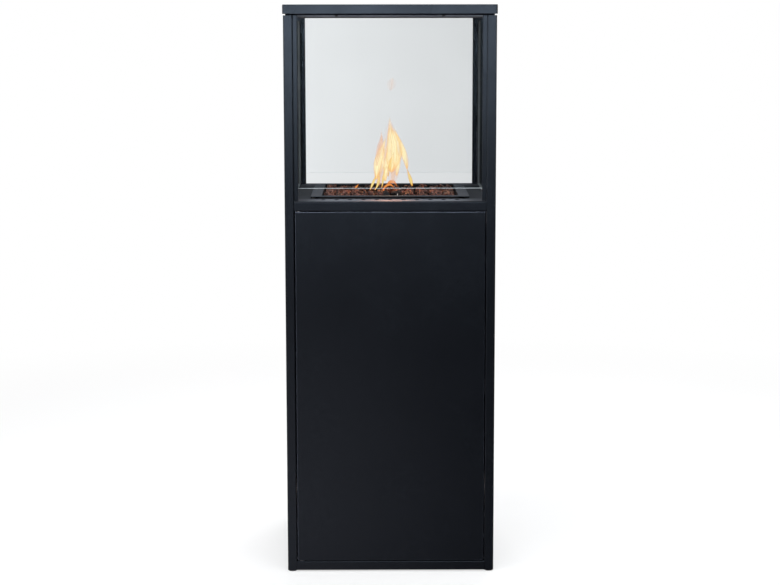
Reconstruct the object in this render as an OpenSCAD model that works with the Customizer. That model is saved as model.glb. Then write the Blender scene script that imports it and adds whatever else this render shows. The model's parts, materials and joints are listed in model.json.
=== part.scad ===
/* [Body] */
// Width and depth of the square column, over its four posts
body_w = 500; // [460:5:560]
// Height from the floor to the top of the cap
body_h = 1365; // [1280:5:1500]
// Height from the floor to the top of the rails that carry the burner deck
deck_h = 903; // [840:1:960]
// Height of the levelling feet under the posts
foot_h = 3; // [2:0.5:6]

/* [Frame] */
// Side of the square tube of the posts and rails
tube_w = 22; // [20:1:25]
// Wall of the square tube
tube_wall = 2; // [1.5:0.25:3]
// Outer corner radius of the square tube
tube_r = 2; // [1:0.5:3]
// Inset of the ring under the cap from the faces of the posts
ring_inset = 5; // [4:1:8]
// Width of the ring under the cap
ring_w = 18; // [16:1:22]
// Height of the ring under the cap
ring_h = 18; // [14:1:24]

/* [Cap] */
// How far the cap stands out past the posts on each side
cap_over = 1.5; // [0:0.5:4]
// Height of the cap's skirt
cap_skirt = 21.5; // [20:0.5:30]
// Shadow gap between the posts and the cap
cap_gap = 3.5; // [3:0.5:6]
// Sheet thickness of the cap
cap_sheet = 2; // [1.5:0.5:3]
// Inward lip at the bottom of the skirt
cap_lip = 5.5; // [4:0.5:6]
// How far the ceiling of the fire chamber hangs below the ring
shield_drop = 5; // [4:0.5:6]

/* [Glass] */
// Thickness of the panes
pane_t = 5; // [4:1:6]
// Air gap between the deck and the front and back panes
front_air = 29.5; // [20:0.5:45]
// Gap between the top of the front and back panes and the ring
front_top_gap = 4; // [3:1:10]
// Exhaust slot between the top of the side panes and the ring
side_exhaust = 12; // [8:1:25]
// Height of the pads that the side panes stand on
side_rest = 1.5; // [1:0.5:6]
// Thickness of the gasket on each side of a pane
gasket_t = 1.5; // [1:0.25:2]
// Sheet thickness of the channels that hold the panes
channel_t = 1.5; // [1:0.25:2]
// Depth of the slot in a channel
channel_depth = 8.5; // [7:0.5:12]
// Distance from the outside of the posts to the middle of a pane
pane_inset = 15.5; // [14:0.5:16]

/* [Burner] */
// Width of the burner plate beside the tray
rim_side = 26; // [22:1:30]
// Width of the burner plate in front of and behind the tray
rim_front = 22; // [18:1:30]
// Width of the stone tray
tray_w = 330; // [300:1:346]
// Depth of the stone tray
tray_d = 316; // [290:1:330]
// Depth of the stone tray below the burner plate
tray_h = 50; // [46:1:70]
// Height of the burner plate's underside above the deck
plate_lift = 4; // [3:0.5:10]
// Outer diameter of the burner tube
burner_dia = 22; // [18:1:24]
// Length of the burner tube
burner_len = 240; // [160:5:280]
// Stones along the width of the tray
rocks_x = 10; // [7:1:11]
// Stones along the depth of the tray
rocks_y = 9; // [7:1:10]
// Height of a middling stone
rock_h = 25; // [20:1:32]

/* [Air holes] */
// Holes in the outer row at the front and back of the deck
air_holes = 11; // [5:2:13]
// Distance between the air holes
air_pitch = 32; // [24:1:36]
// Diameter of the air holes
air_dia = 9; // [5:0.5:12]
// Distance of the outer row from the faces of the posts
air_inset = 50; // [46:1:54]

/* [Sheet work] */
// Sheet thickness of the door, the panels, the deck and the burner plate
sheet = 1.5; // [1:0.25:2]
// Gap all round the door
door_gap = 2; // [1.5:0.25:3]
// Depth of the door from its face to its rear lips
door_d = 18; // [16:0.5:20]
// Width of the door's rear lips
door_lip = 12; // [8:1:14]
// Depth of the panels' flanges
panel_flange = 10; // [8:0.5:11.5]
// Thickness of the floor plate that carries the gas bottle
floor_t = 2; // [1.5:0.5:3]

/* [Door hinge] */
// Diameter of the hinge pins
pin_dia = 6; // [5:0.5:6]
// Distance of the pins from the edge of the door
pin_in = 10; // [9:0.5:12]
// Distance of the pins from the face of the door
pin_back = 7; // [7:0.5:8]
// Outer diameter of the bushes
bush_dia = 10; // [9:0.5:10.5]
// Running clearance of the pins, stems and plungers, on the radius
run_gap = 0.05; // [0.02:0.01:0.1]

/* [Controls] */
// Distance of the gas valve from the middle of the column
valve_x = 120; // [110:5:140]
// Distance of the igniter from the middle of the column
igniter_x = 50; // [40:5:60]
// Height of the control plate below the deck rails
control_drop = 110; // [100:5:140]
// Diameter of the control knob
knob_dia = 38; // [30:1:44]
// Diameter of the igniter button
button_dia = 14; // [10:1:18]
// Travel of the valve when the knob is pushed in
valve_push = 5; // [3:0.5:6]
// Travel of the igniter button
button_push = 6; // [4:0.5:7]
// Travel of the push latch
latch_push = 3; // [2:0.5:4]
// Outer diameter of the gas pipe
pipe_dia = 8; // [6:1:10]

/* [Hidden] */
$fn = 48;
eps = 0.01;

// Colours as the photograph shows them
steel_dark = "#3a3d44";
steel_edge = "#4b4f58";
deck_grey = "#5c6068";
inner_steel = "#8a8d90";
brass = "#b59a5a";
stone = "#7a4a40";
glass_tint = [0.80, 0.85, 0.85, 0.35];
plastic = "#202226";
ceramic = "#e8e4da";

// Places in the square plan, measured from the middle
half_w = body_w / 2;
inner_w = half_w - tube_w;
post_mid = half_w - tube_w / 2;

// Heights, from the floor up
rail_bottom = foot_h;
rail_top = foot_h + tube_w;
deck_top = deck_h + sheet;
deck_rail_bottom = deck_h - tube_w;
cap_bottom = body_h - cap_skirt;
post_top = cap_bottom - cap_gap;
cap_under = body_h - cap_sheet;
ring_top = post_top + ring_h;

// The frame's screws
screw_r = 2;
screw_gap = 0.1;
screw_head_r = 4;
screw_head_h = 2.6;

// A square with rounded corners, made of squares and circles
module round_square(w, d, r) {
  square([w - 2 * r, d], center = true);
  square([w, d - 2 * r], center = true);
  for (sx = [-1, 1], sy = [-1, 1])
    translate([sx * (w / 2 - r), sy * (d / 2 - r)]) circle(r = r);
}

// The section of the square tube
module tube_section() {
  difference() {
    round_square(tube_w, tube_w, tube_r);
    round_square(tube_w - 2 * tube_wall, tube_w - 2 * tube_wall, tube_r / 2);
  }
}

// A box given by its lowest and highest corners
module span(low, high) {
  translate(low) cube([high[0] - low[0], high[1] - low[1], high[2] - low[2]]);
}

// A cylinder along Y that starts at y0 and ends at y1
module rod_y(x, z, y0, y1, r) {
  translate([x, y0, z]) rotate([-90, 0, 0]) cylinder(h = y1 - y0, r = r);
}

// A cylinder along X that starts at x0 and ends at x1
module rod_x(y, z, x0, x1, r) {
  translate([x0, y, z]) rotate([0, 90, 0]) cylinder(h = x1 - x0, r = r);
}

// Copies a shape to the four sides of the square plan
module on_four_sides() {
  for (turn = [0:3]) rotate([0, 0, 90 * turn]) children();
}

// Heights of the screws that hold the panels to the posts
panel_bottom = rail_top;
panel_top = deck_rail_bottom;
screw_margin = 60;
screw_rows = [
  panel_bottom + screw_margin,
  (panel_bottom + panel_top) / 2,
  panel_top - screw_margin
];
screw_inset = panel_flange * 0.6 + sheet / 2;

// Control plate: its place behind the front deck rail, and the size of the valve behind it
control_left = 10;
control_right = 195;
control_step = 26;
control_face = -inner_w + control_step;
control_tab = deck_h - 3;
control_shelf = deck_rail_bottom - 19;
control_bottom = deck_rail_bottom - control_drop;
control_screw_z = deck_h - tube_w / 2;
control_screws = [control_left + 25, control_right - 25];
valve_w = 44;
valve_d = 46;

// Door: its outline, its rear lips and the radius of its folds
door_half = inner_w - door_gap;
door_bottom = rail_top + door_gap;
door_top = deck_rail_bottom - door_gap;
door_back = -half_w + door_d;
door_r = 2;

// Push latch: its place behind the door's free edge, and its two screws into the post
latch_x = door_half - 8;
latch_z = (door_bottom + door_top) / 2;
latch_r = 8;
plunger_r = 4;
bracket_end = half_w - sheet - panel_flange;
latch_screw_x = bracket_end - screw_head_r - 1;
latch_screws = [latch_z - 10, latch_z + 10];

// Post: a square tube closed at the top, drilled for the panel screws
module post(sx, sy) {
  wall_in = tube_w / 2 - tube_wall - eps;
  color(steel_dark)
    translate([sx * post_mid, sy * post_mid, 0])
      difference() {
        union() {
          translate([0, 0, foot_h]) linear_extrude(post_top - foot_h) tube_section();
          translate([0, 0, post_top - tube_wall])
            linear_extrude(tube_wall) round_square(tube_w, tube_w, tube_r);
        }
        for (z = screw_rows) {
          translate([sx * (tube_w / 2 - screw_inset), -sy * wall_in, z])
            rotate([sy * 90, 0, 0]) cylinder(h = tube_wall + 1, r = screw_r + screw_gap);
          if (sy > 0)
            translate([-sx * wall_in, sy * (tube_w / 2 - screw_inset), z])
              rotate([0, -sx * 90, 0]) cylinder(h = tube_wall + 1, r = screw_r + screw_gap);
        }
        if (sx > 0 && sy < 0)
          for (z = latch_screws)
            translate([latch_screw_x - post_mid, wall_in, z])
              rotate([-90, 0, 0]) cylinder(h = tube_wall + 1, r = screw_r + screw_gap);
      }
}
module post_front_left() { post(-1, -1); }
module post_front_right() { post(1, -1); }
module post_back_left() { post(-1, 1); }
module post_back_right() { post(1, 1); }

// Levelling foot: a low pad on a threaded stem that turns in its insert
foot_pad_r = tube_w / 2 - 1;
foot_stem_r = 4;
insert_h = 25;
module foot(sx, sy) {
  chamfer = foot_h / 4;
  color(plastic)
    translate([sx * post_mid, sy * post_mid, 0])
      rotate_extrude()
        polygon([
          [0, 0],
          [foot_pad_r - chamfer, 0],
          [foot_pad_r, chamfer],
          [foot_pad_r, foot_h],
          [foot_stem_r, foot_h],
          [foot_stem_r, foot_h + insert_h - 2],
          [foot_stem_r - 1, foot_h + insert_h - 1],
          [0, foot_h + insert_h - 1]
        ]);
}
module foot_front_left() { foot(-1, -1); }
module foot_front_right() { foot(1, -1); }
module foot_back_left() { foot(-1, 1); }
module foot_back_right() { foot(1, 1); }

// Threaded inserts pressed into the lower ends of the posts
module foot_inserts() {
  insert_w = tube_w - 2 * tube_wall - 0.1;
  color(plastic)
    for (sx = [-1, 1], sy = [-1, 1])
      translate([sx * post_mid, sy * post_mid, foot_h])
        linear_extrude(insert_h)
          difference() {
            round_square(insert_w, insert_w, tube_r / 2);
            circle(r = foot_stem_r + run_gap);
          }
}

// The pivot of the door, and the length of a pin in its rail and in its bush
pin_x = -(inner_w - door_gap - pin_in);
pin_y = -(half_w - pin_back);
pin_r = pin_dia / 2;
pin_grip = 10;

// One rail between two posts along the front, as seen from the front
module rail(z) {
  translate([-inner_w, -post_mid, z + tube_w / 2])
    rotate([90, 0, 90]) linear_extrude(2 * inner_w) tube_section();
}

// Four rails between the posts at the foot, the front one drilled for the lower hinge pin
module base_rails() {
  color(steel_dark)
    difference() {
      on_four_sides() rail(rail_bottom);
      translate([pin_x, pin_y, rail_top - tube_wall - 1])
        cylinder(h = tube_wall + 2, r = pin_r);
    }
}

// Four rails between the posts under the deck, the front one drilled for the upper hinge pin
module deck_rails() {
  color(steel_dark)
    difference() {
      on_four_sides() rail(deck_rail_bottom);
      translate([pin_x, pin_y, deck_rail_bottom - 1])
        cylinder(h = tube_wall + 2, r = pin_r);
      for (x = control_screws)
        rod_y(x, control_screw_z, -inner_w - tube_wall - 1, -inner_w + 1, screw_r + screw_gap);
    }
}

// Welded ring of channel that stands on the posts and carries the cap
ring_out = half_w - ring_inset;
ring_in = ring_out - ring_w;
ring_mid = (ring_out + ring_in) / 2;
module top_rails() {
  color(steel_dark)
    difference() {
      span([-ring_out, -ring_out, post_top], [ring_out, ring_out, ring_top]);
      span([-ring_in, -ring_in, post_top - 1], [ring_in, ring_in, ring_top + 1]);
      difference() {
        span([-ring_out + tube_wall, -ring_out + tube_wall, post_top + tube_wall],
             [ring_out - tube_wall, ring_out - tube_wall, ring_top + 1]);
        span([-ring_in - tube_wall, -ring_in - tube_wall, post_top],
             [ring_in + tube_wall, ring_in + tube_wall, ring_top + 2]);
      }
      on_four_sides()
        for (sx = [-1, 1])
          translate([sx * cap_screw_x, -ring_mid, post_top - 1])
            cylinder(h = tube_wall + 2, r = cap_screw_r + screw_gap);
    }
}

// Cap: a folded sheet lid with a skirt, an inward lip and sleeve nuts on the ring
cap_half = half_w + cap_over;
cap_screw_x = body_w / 4;
cap_screw_r = 2.5;
cap_nut_r = 5;
cap_edge_r = 1.5;
module cap_outline(inset, r) {
  round_square(2 * (cap_half - inset), 2 * (cap_half - inset), r);
}
module cap() {
  color(steel_edge) {
    difference() {
      union() {
        translate([0, 0, cap_bottom])
          linear_extrude(cap_skirt - cap_edge_r) cap_outline(0, cap_edge_r * 2);
        translate([0, 0, body_h - cap_edge_r])
          linear_extrude(cap_edge_r / 2) cap_outline(cap_edge_r * 0.14, cap_edge_r * 1.7);
        translate([0, 0, body_h - cap_edge_r / 2])
          linear_extrude(cap_edge_r / 2) cap_outline(cap_edge_r * 0.6, cap_edge_r * 1.4);
      }
      translate([0, 0, cap_bottom + cap_sheet])
        linear_extrude(cap_skirt - 2 * cap_sheet) cap_outline(cap_sheet, cap_edge_r);
      translate([0, 0, cap_bottom - 1])
        linear_extrude(cap_sheet + 2)
          square(2 * (cap_half - cap_lip), center = true);
    }
    on_four_sides()
      for (sx = [-1, 1])
        translate([sx * cap_screw_x, -ring_mid, post_top + tube_wall])
          difference() {
            cylinder(h = cap_under - post_top - tube_wall + eps, r = cap_nut_r);
            translate([0, 0, -1])
              cylinder(h = cap_under - post_top - tube_wall - 1, r = cap_screw_r + run_gap);
          }
  }
}

// Button-head screws that hold the cap to the ring from below
cap_screw_len = 14;
module cap_screws() {
  color(inner_steel)
    on_four_sides()
      for (sx = [-1, 1])
        translate([sx * cap_screw_x, -ring_mid, 0])
          rotate_extrude()
            polygon([
              [0, post_top - screw_head_h],
              [screw_head_r - 1, post_top - screw_head_h],
              [screw_head_r, post_top - 1],
              [screw_head_r, post_top],
              [cap_screw_r, post_top],
              [cap_screw_r, post_top + cap_screw_len],
              [0, post_top + cap_screw_len]
            ]);
}

// Ceiling of the fire chamber: a tray with turned-up flanges inside the ring
shield_flange = 16;
shield_bottom = post_top - shield_drop;
module heat_shield() {
  color(inner_steel)
    difference() {
      span([-ring_in, -ring_in, shield_bottom], [ring_in, ring_in, shield_bottom + shield_flange]);
      span([-ring_in + sheet, -ring_in + sheet, shield_bottom + sheet],
           [ring_in - sheet, ring_in - sheet, shield_bottom + shield_flange + 1]);
    }
}

// Floor of the bottle compartment, with anchor holes and low vent slots
anchor_pitch = 2 * inner_w - 76;
anchor_dia = 9;
module floor_plate() {
  lip = 15;
  slot_len = 60;
  slot_w = 8;
  color(inner_steel)
    difference() {
      span([-inner_w, -inner_w, rail_top - lip], [inner_w, inner_w, rail_top]);
      span([-inner_w + floor_t, -inner_w + floor_t, rail_top - lip - 1],
           [inner_w - floor_t, inner_w - floor_t, rail_top - floor_t]);
      for (sx = [-1, 1], sy = [-1, 1])
        translate([sx * anchor_pitch / 2, sy * anchor_pitch / 2, rail_top - floor_t - 1])
          cylinder(h = floor_t + 2, r = anchor_dia / 2);
      for (sx = [-1, 1], row = [-2:2])
        translate([sx * 70, row * 24, rail_top - floor_t - 1])
          linear_extrude(floor_t + 2) slot(slot_len, slot_w);
    }
}

// A slot with round ends, along X
module slot(length, width) {
  square([length - width, width], center = true);
  for (sx = [-1, 1]) translate([sx * (length - width) / 2, 0]) circle(r = width / 2);
}

// A panel that closes the bay between two posts, drawn at the front of the plan
vent_len = 70;
vent_w = 5;
vent_pitch = 14;
vent_rows = 4;
module panel(vents_high) {
  bay = 2 * inner_w;
  difference() {
    span([-inner_w, -half_w, panel_bottom], [inner_w, -half_w + sheet + panel_flange, panel_top]);
    span([-inner_w + sheet, -half_w + sheet, panel_bottom + sheet],
         [inner_w - sheet, -half_w + sheet + panel_flange + 1, panel_top - sheet]);
    for (x = [-1.5:1.5], row = [0:vent_rows - 1])
      translate([x * bay / 4.6, -half_w + sheet + 1, panel_bottom + 40 + row * vent_pitch])
        rotate([90, 0, 0]) linear_extrude(sheet + 2) slot(vent_len, vent_w);
    if (vents_high)
      for (x = [-1.5:1.5], row = [0:vent_rows - 1])
        translate([x * bay / 4.6, -half_w + sheet + 1, panel_top - 40 - row * vent_pitch])
          rotate([90, 0, 0]) linear_extrude(sheet + 2) slot(vent_len, vent_w);
    for (z = screw_rows)
      rod_x(-half_w + screw_inset, z, -inner_w - 1, inner_w + 1, screw_r + screw_gap);
  }
}
module side_panel_left() { color(steel_dark) rotate([0, 0, -90]) panel(false); }
module side_panel_right() { color(steel_dark) rotate([0, 0, 90]) panel(false); }
module back_panel() { color(steel_dark) rotate([0, 0, 180]) panel(true); }

// Screw through a sheet, with its shank along X and the far side of the sheet at the origin
module panel_screw() {
  rotate([0, 90, 0])
    rotate_extrude()
      polygon([
        [0, -sheet - screw_head_h],
        [screw_head_r - 1, -sheet - screw_head_h],
        [screw_head_r, -sheet - 1],
        [screw_head_r, -sheet],
        [screw_r, -sheet],
        [screw_r, tube_wall + 2],
        [0, tube_wall + 2]
      ]);
}
module panel_screws() {
  color(inner_steel) {
    for (turn = [90, 180, 270], z = screw_rows)
      rotate([0, 0, turn])
        for (sx = [0, 1])
          mirror([sx, 0, 0]) translate([inner_w, -half_w + screw_inset, z]) panel_screw();
  }
}

// Screws of the control plate and of the latch bracket, with their shanks forward
module inner_screws() {
  color(inner_steel) {
    for (x = control_screws)
      translate([x, -inner_w, control_screw_z]) rotate([0, 0, -90]) panel_screw();
    for (z = latch_screws)
      translate([latch_screw_x, -inner_w, z]) rotate([0, 0, -90]) panel_screw();
  }
}

// Deck: a folded-edge sheet notched round the posts, open for the burner, with air holes
deck_edge = 1;
opening_gap = 3.5;
plate_w = tray_w + 2 * rim_side;
plate_d = tray_d + 2 * rim_front;
plate_front = plate_d / 2;
second_row = plate_front + 2;
module deck_plate() {
  notch = tube_w - deck_edge + 0.3;
  deck_half = half_w - deck_edge;
  color(deck_grey)
    translate([0, 0, deck_h])
      linear_extrude(sheet)
        difference() {
          square(2 * deck_half, center = true);
          for (sx = [-1, 1], sy = [-1, 1])
            translate([sx * deck_half, sy * deck_half]) square(2 * notch, center = true);
          square([tray_w + 2 * (sheet + opening_gap), tray_d + 2 * (sheet + opening_gap)],
                 center = true);
          for (sy = [-1, 1]) {
            for (i = [0:air_holes - 1])
              translate([(i - (air_holes - 1) / 2) * air_pitch, sy * (half_w - air_inset)])
                circle(r = air_dia / 2);
            for (i = [0:air_holes])
              translate([(i - air_holes / 2) * air_pitch, sy * second_row])
                circle(r = air_dia / 2);
          }
        }
}

// Short spacers that hold the burner plate above the deck
spacer_r = 4;
module plate_spacers() {
  color(inner_steel)
    for (sx = [-1, 1], sy = [-1, 1])
      translate([sx * (plate_w / 2 - 8), sy * (plate_d / 2 - 8), deck_top])
        cylinder(h = plate_lift, r = spacer_r);
}

// Raised burner plate round the stone tray
plate_under = deck_top + plate_lift;
plate_top = plate_under + sheet;
module burner_plate() {
  color(deck_grey)
    translate([0, 0, plate_under])
      linear_extrude(sheet)
        difference() {
          round_square(plate_w, plate_d, 2);
          round_square(tray_w, tray_d, 2);
        }
}

// Stone tray: an open pan whose rim lies under the burner plate
pan_floor = plate_under - tray_h;
pan_rim = 8;
pan_rim_t = min(sheet, plate_lift - 1);
stem_r = burner_dia / 2;
module burner_pan() {
  color(inner_steel)
    difference() {
      union() {
        translate([0, 0, pan_floor])
          linear_extrude(tray_h) round_square(tray_w + 2 * sheet, tray_d + 2 * sheet, 2 + sheet);
        translate([0, 0, plate_under - pan_rim_t])
          linear_extrude(pan_rim_t)
            round_square(tray_w + 2 * pan_rim, tray_d + 2 * pan_rim, 2 + pan_rim);
      }
      translate([0, 0, pan_floor + sheet])
        linear_extrude(tray_h) round_square(tray_w, tray_d, 2);
      translate([0, 0, pan_floor - 1]) cylinder(h = sheet + 2, r = stem_r);
      for (at = pilot_places)
        translate([at[0], at[1], pan_floor - 1]) cylinder(h = sheet + 2, r = at[2] + 0.5);
    }
}

// Burner: a closed tube with two rows of ports, on an upright mixing tube
burner_z = pan_floor + sheet + 6 + burner_dia / 2;
burner_wall = 1.2;
mixer_len = 42;
mixer_bottom = burner_z - mixer_len;
port_r = 1.5;
port_pitch = 12;
module burner_tube() {
  ports = floor((burner_len - 30) / port_pitch / 2);
  color(inner_steel)
    difference() {
      union() {
        rod_x(0, burner_z, -burner_len / 2, burner_len / 2, burner_dia / 2);
        translate([0, 0, mixer_bottom]) cylinder(h = mixer_len, r = stem_r);
      }
      rod_x(0, burner_z, -burner_len / 2 + burner_wall, burner_len / 2 - burner_wall,
            burner_dia / 2 - burner_wall);
      translate([0, 0, mixer_bottom - 1])
        cylinder(h = mixer_len + 1, r = stem_r - burner_wall);
      for (i = [-ports:ports], tilt = [-30, 30])
        translate([i * port_pitch, 0, burner_z])
          rotate([tilt, 0, 0]) cylinder(h = burner_dia, r = port_r);
      for (turn = [45, 135])
        translate([0, 0, mixer_bottom + 10])
          rotate([0, 90, turn]) cylinder(h = 2 * burner_dia, r = 3.5, center = true);
    }
}

// Slotted grate that the stones lie on, on four legs in the tray
grate_z = burner_z + burner_dia / 2 + 0.5;
grate_gap = 4;
grate_top = grate_z + sheet;
module rock_grate() {
  grate_w = tray_w - 2 * grate_gap;
  grate_d = tray_d - 2 * grate_gap;
  leg = 10;
  slot_pitch = 16;
  slots = floor((grate_w / 2 - 14) / slot_pitch);
  color(inner_steel)
    union() {
      translate([0, 0, grate_z])
        linear_extrude(sheet)
          difference() {
            square([grate_w, grate_d], center = true);
            for (i = [-slots:slots], sy = [-1, 1])
              translate([i * slot_pitch, sy * grate_d / 4])
                rotate([0, 0, 90]) slot(grate_d / 2 - 24, 6);
            translate([pilot_x, pilot_y]) square([pilot_w, pilot_d], center = true);
          }
      for (sx = [-1, 1], sy = [-1, 1])
        span([sx * grate_w / 2 - (sx > 0 ? leg : 0), sy * grate_d / 2 - (sy > 0 ? leg : 0),
              pan_floor + sheet],
             [sx * grate_w / 2 + (sx > 0 ? 0 : leg), sy * grate_d / 2 + (sy > 0 ? 0 : leg),
              grate_z + eps]);
    }
}

// Lava stones: one in each cell of an uneven grid, none round the pilot and in front of it
rock_margin = 3;
rock_gap = 0.8;
rock_spread = 0.27;
cell_w = (tray_w - 2 * rock_margin) / rocks_x;
cell_d = (tray_d - 2 * rock_margin) / rocks_y;
shake = 0.16;
function noise(i, j, k) = rands(-1, 1, 1, 17 + 131 * i + 7919 * j + 37 * k)[0];
function inside(i, n) = i > 0 && i < n ? 1 : 0;
function grid_point(i, j) = [
  (i - rocks_x / 2) * cell_w + inside(i, rocks_x) * shake * cell_w * noise(i, j, 1),
  (j - rocks_y / 2) * cell_d + inside(j, rocks_y) * shake * cell_d * noise(i, j, 2)
];
function cell_middle(i, j) =
  (grid_point(i, j) + grid_point(i + 1, j) + grid_point(i, j + 1) + grid_point(i + 1, j + 1)) / 4;
function by_pilot(m) =
  abs(m[0] - pilot_x) < (pilot_w + cell_w) / 2 - 6
  && abs(m[1] - pilot_y) < (pilot_d + cell_d) / 2 - 6;
function before_pilot(m) = m[1] < pilot_y && abs(m[0] - pilot_x) < cell_w / 2;
function rock_here(m) = !by_pilot(m) && !before_pilot(m);

// Points of one stone: rings of eight that stay inside the cell's own outline
function cell_ring(i, j) =
  let (a = grid_point(i, j), b = grid_point(i + 1, j),
       c = grid_point(i + 1, j + 1), d = grid_point(i, j + 1), m = cell_middle(i, j))
  [for (p = [[a, 0.84], [(a + b) / 2, 1], [b, 0.84], [(b + c) / 2, 1],
             [c, 0.84], [(c + d) / 2, 1], [d, 0.84], [(d + a) / 2, 1]])
    (p[0] - m) * p[1]];
ring_heights = [0, 0.3, 0.68, 0.93];
ring_scales = [0.62, 1, 0.9, 0.5];
module rock(i, j) {
  m = cell_middle(i, j);
  ring = cell_ring(i, j);
  fit = 1 - rock_gap / min(cell_w, cell_d);
  height = rock_h * (1 + rock_spread * noise(i, j, 3));
  points = [
    for (k = [0:3], s = [0:7])
      let (scale_here = ring_scales[k] * (k == 1 ? 1 : 1 + 0.09 * noise(i, j, 10 + 8 * k + s)) * fit)
      [ring[s][0] * scale_here, ring[s][1] * scale_here,
       height * (ring_heights[k] + (k == 0 ? 0 : 0.05 * noise(i, j, 60 + 8 * k + s)))],
    [2 * noise(i, j, 4), 2 * noise(i, j, 5), height]
  ];
  faces = [
    [7, 6, 5, 4, 3, 2, 1, 0],
    for (k = [0:2], s = [0:7]) [8 * k + s, 8 * k + (s + 1) % 8, 8 * k + 8 + s],
    for (k = [0:2], s = [0:7]) [8 * k + (s + 1) % 8, 8 * k + 8 + (s + 1) % 8, 8 * k + 8 + s],
    for (s = [0:7]) [24 + s, 24 + (s + 1) % 8, 32]
  ];
  translate([m[0], m[1], grate_top]) polyhedron(points, faces, convexity = 3);
}
module lava_rocks() {
  color(stone)
    for (i = [0:rocks_x - 1], j = [0:rocks_y - 1])
      if (rock_here(cell_middle(i, j))) rock(i, j);
}

// Injector: a hexagon with a jet, screwed to the lower end of the mixing tube
injector_h = 18;
injector_bottom = mixer_bottom - injector_h;
module injector() {
  color(brass)
    difference() {
      union() {
        translate([0, 0, injector_bottom]) cylinder(h = injector_h, r = stem_r + 2, $fn = 6);
        translate([0, 0, mixer_bottom - eps]) cylinder(h = 6, r = 4);
      }
      translate([0, 0, injector_bottom - 1])
        cylinder(h = injector_h - 2, r = pipe_r - pipe_wall);
      translate([0, 0, injector_bottom]) cylinder(h = injector_h + 8, r = 0.6);
    }
}

// Gas pipe: from the back of the valve, round two bends and up into the injector
pipe_r = pipe_dia / 2;
pipe_wall = 1;
bend_r = 2 * pipe_dia;
pipe_z = injector_bottom - bend_r;
valve_back = control_face + sheet + valve_d;

// Heights and radii of what passes through the control plate
valve_z = pipe_z + 18;
igniter_z = valve_z + 6;
collar_r = 9;
collar_gap = 0.5;
igniter_r = 9;
valve_top = valve_z + 22;
valve_bottom = pipe_z - 12;
collar_bore_d = 22;
module tube_profile(r, wall) {
  difference() {
    circle(r = r);
    circle(r = r - wall);
  }
}
module pipe_bend(turn_r, r, wall) {
  rotate_extrude(angle = 90) translate([turn_r, 0]) tube_profile(r, wall);
}
module gas_pipe() {
  color(brass)
    union() {
      translate([valve_x, valve_back, pipe_z])
        rotate([-90, 0, 0])
          linear_extrude(-bend_r - valve_back) tube_profile(pipe_r, pipe_wall);
      translate([valve_x - bend_r, -bend_r, pipe_z]) pipe_bend(bend_r, pipe_r, pipe_wall);
      translate([bend_r, 0, pipe_z])
        rotate([0, 90, 0])
          linear_extrude(valve_x - 2 * bend_r) tube_profile(pipe_r, pipe_wall);
      translate([bend_r, 0, pipe_z + bend_r])
        rotate([-90, 90, 0]) pipe_bend(bend_r, pipe_r, pipe_wall);
    }
}

// Pilot group: the places and radii of the electrode, the pilot burner and the thermocouple
pilot_x = 19;
pilot_y = -72;
pilot_w = 48;
pilot_d = 30;
pilot_pitch = 12;
pilot_places = [
  [pilot_x, pilot_y, 3],
  [pilot_x - pilot_pitch, pilot_y, 4],
  [pilot_x + pilot_pitch, pilot_y, 2.5]
];
pilot_bottom = pan_floor - 16;
bracket_z = grate_z - 4;
module pilot_bracket() {
  foot_y = pilot_y - pilot_d / 2 + 2;
  color(inner_steel)
    difference() {
      union() {
        span([pilot_x - 21, foot_y, pan_floor + sheet], [pilot_x + 21, foot_y + sheet, bracket_z]);
        span([pilot_x - 21, foot_y, bracket_z - sheet], [pilot_x + 21, pilot_y + 8, bracket_z]);
      }
      for (at = pilot_places)
        translate([at[0], at[1], bracket_z - sheet - 1]) cylinder(h = sheet + 2, r = at[2]);
    }
}

// Ceramic spark electrode with its bent wire tip
module spark_electrode() {
  at = pilot_places[0];
  color(ceramic)
    translate([at[0], at[1], 0])
      union() {
        rotate_extrude()
          polygon([
            [0, pan_floor - 12], [at[2], pan_floor - 12], [at[2], bracket_z],
            [at[2] + 1.5, bracket_z], [at[2] + 1.5, bracket_z + 4],
            [at[2], bracket_z + 6], [at[2], bracket_z + 16], [0, bracket_z + 16]
          ]);
        translate([0, 0, bracket_z + 16 - eps]) cylinder(h = 6, r = 0.8);
      }
}

// Pilot burner: a hooded tube
module pilot_burner() {
  at = pilot_places[1];
  hood = 5.5;
  color(brass)
    translate([at[0], at[1], 0])
      difference() {
        rotate_extrude()
          polygon([
            [0, pilot_bottom], [at[2], pilot_bottom], [at[2], bracket_z],
            [hood, bracket_z], [hood, bracket_z + 14], [hood - 1, bracket_z + 15],
            [0, bracket_z + 15]
          ]);
        translate([0, 0, bracket_z + 11])
          rotate([0, 90, 20]) cylinder(h = hood + 2, r = 2.5);
      }
}

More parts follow.
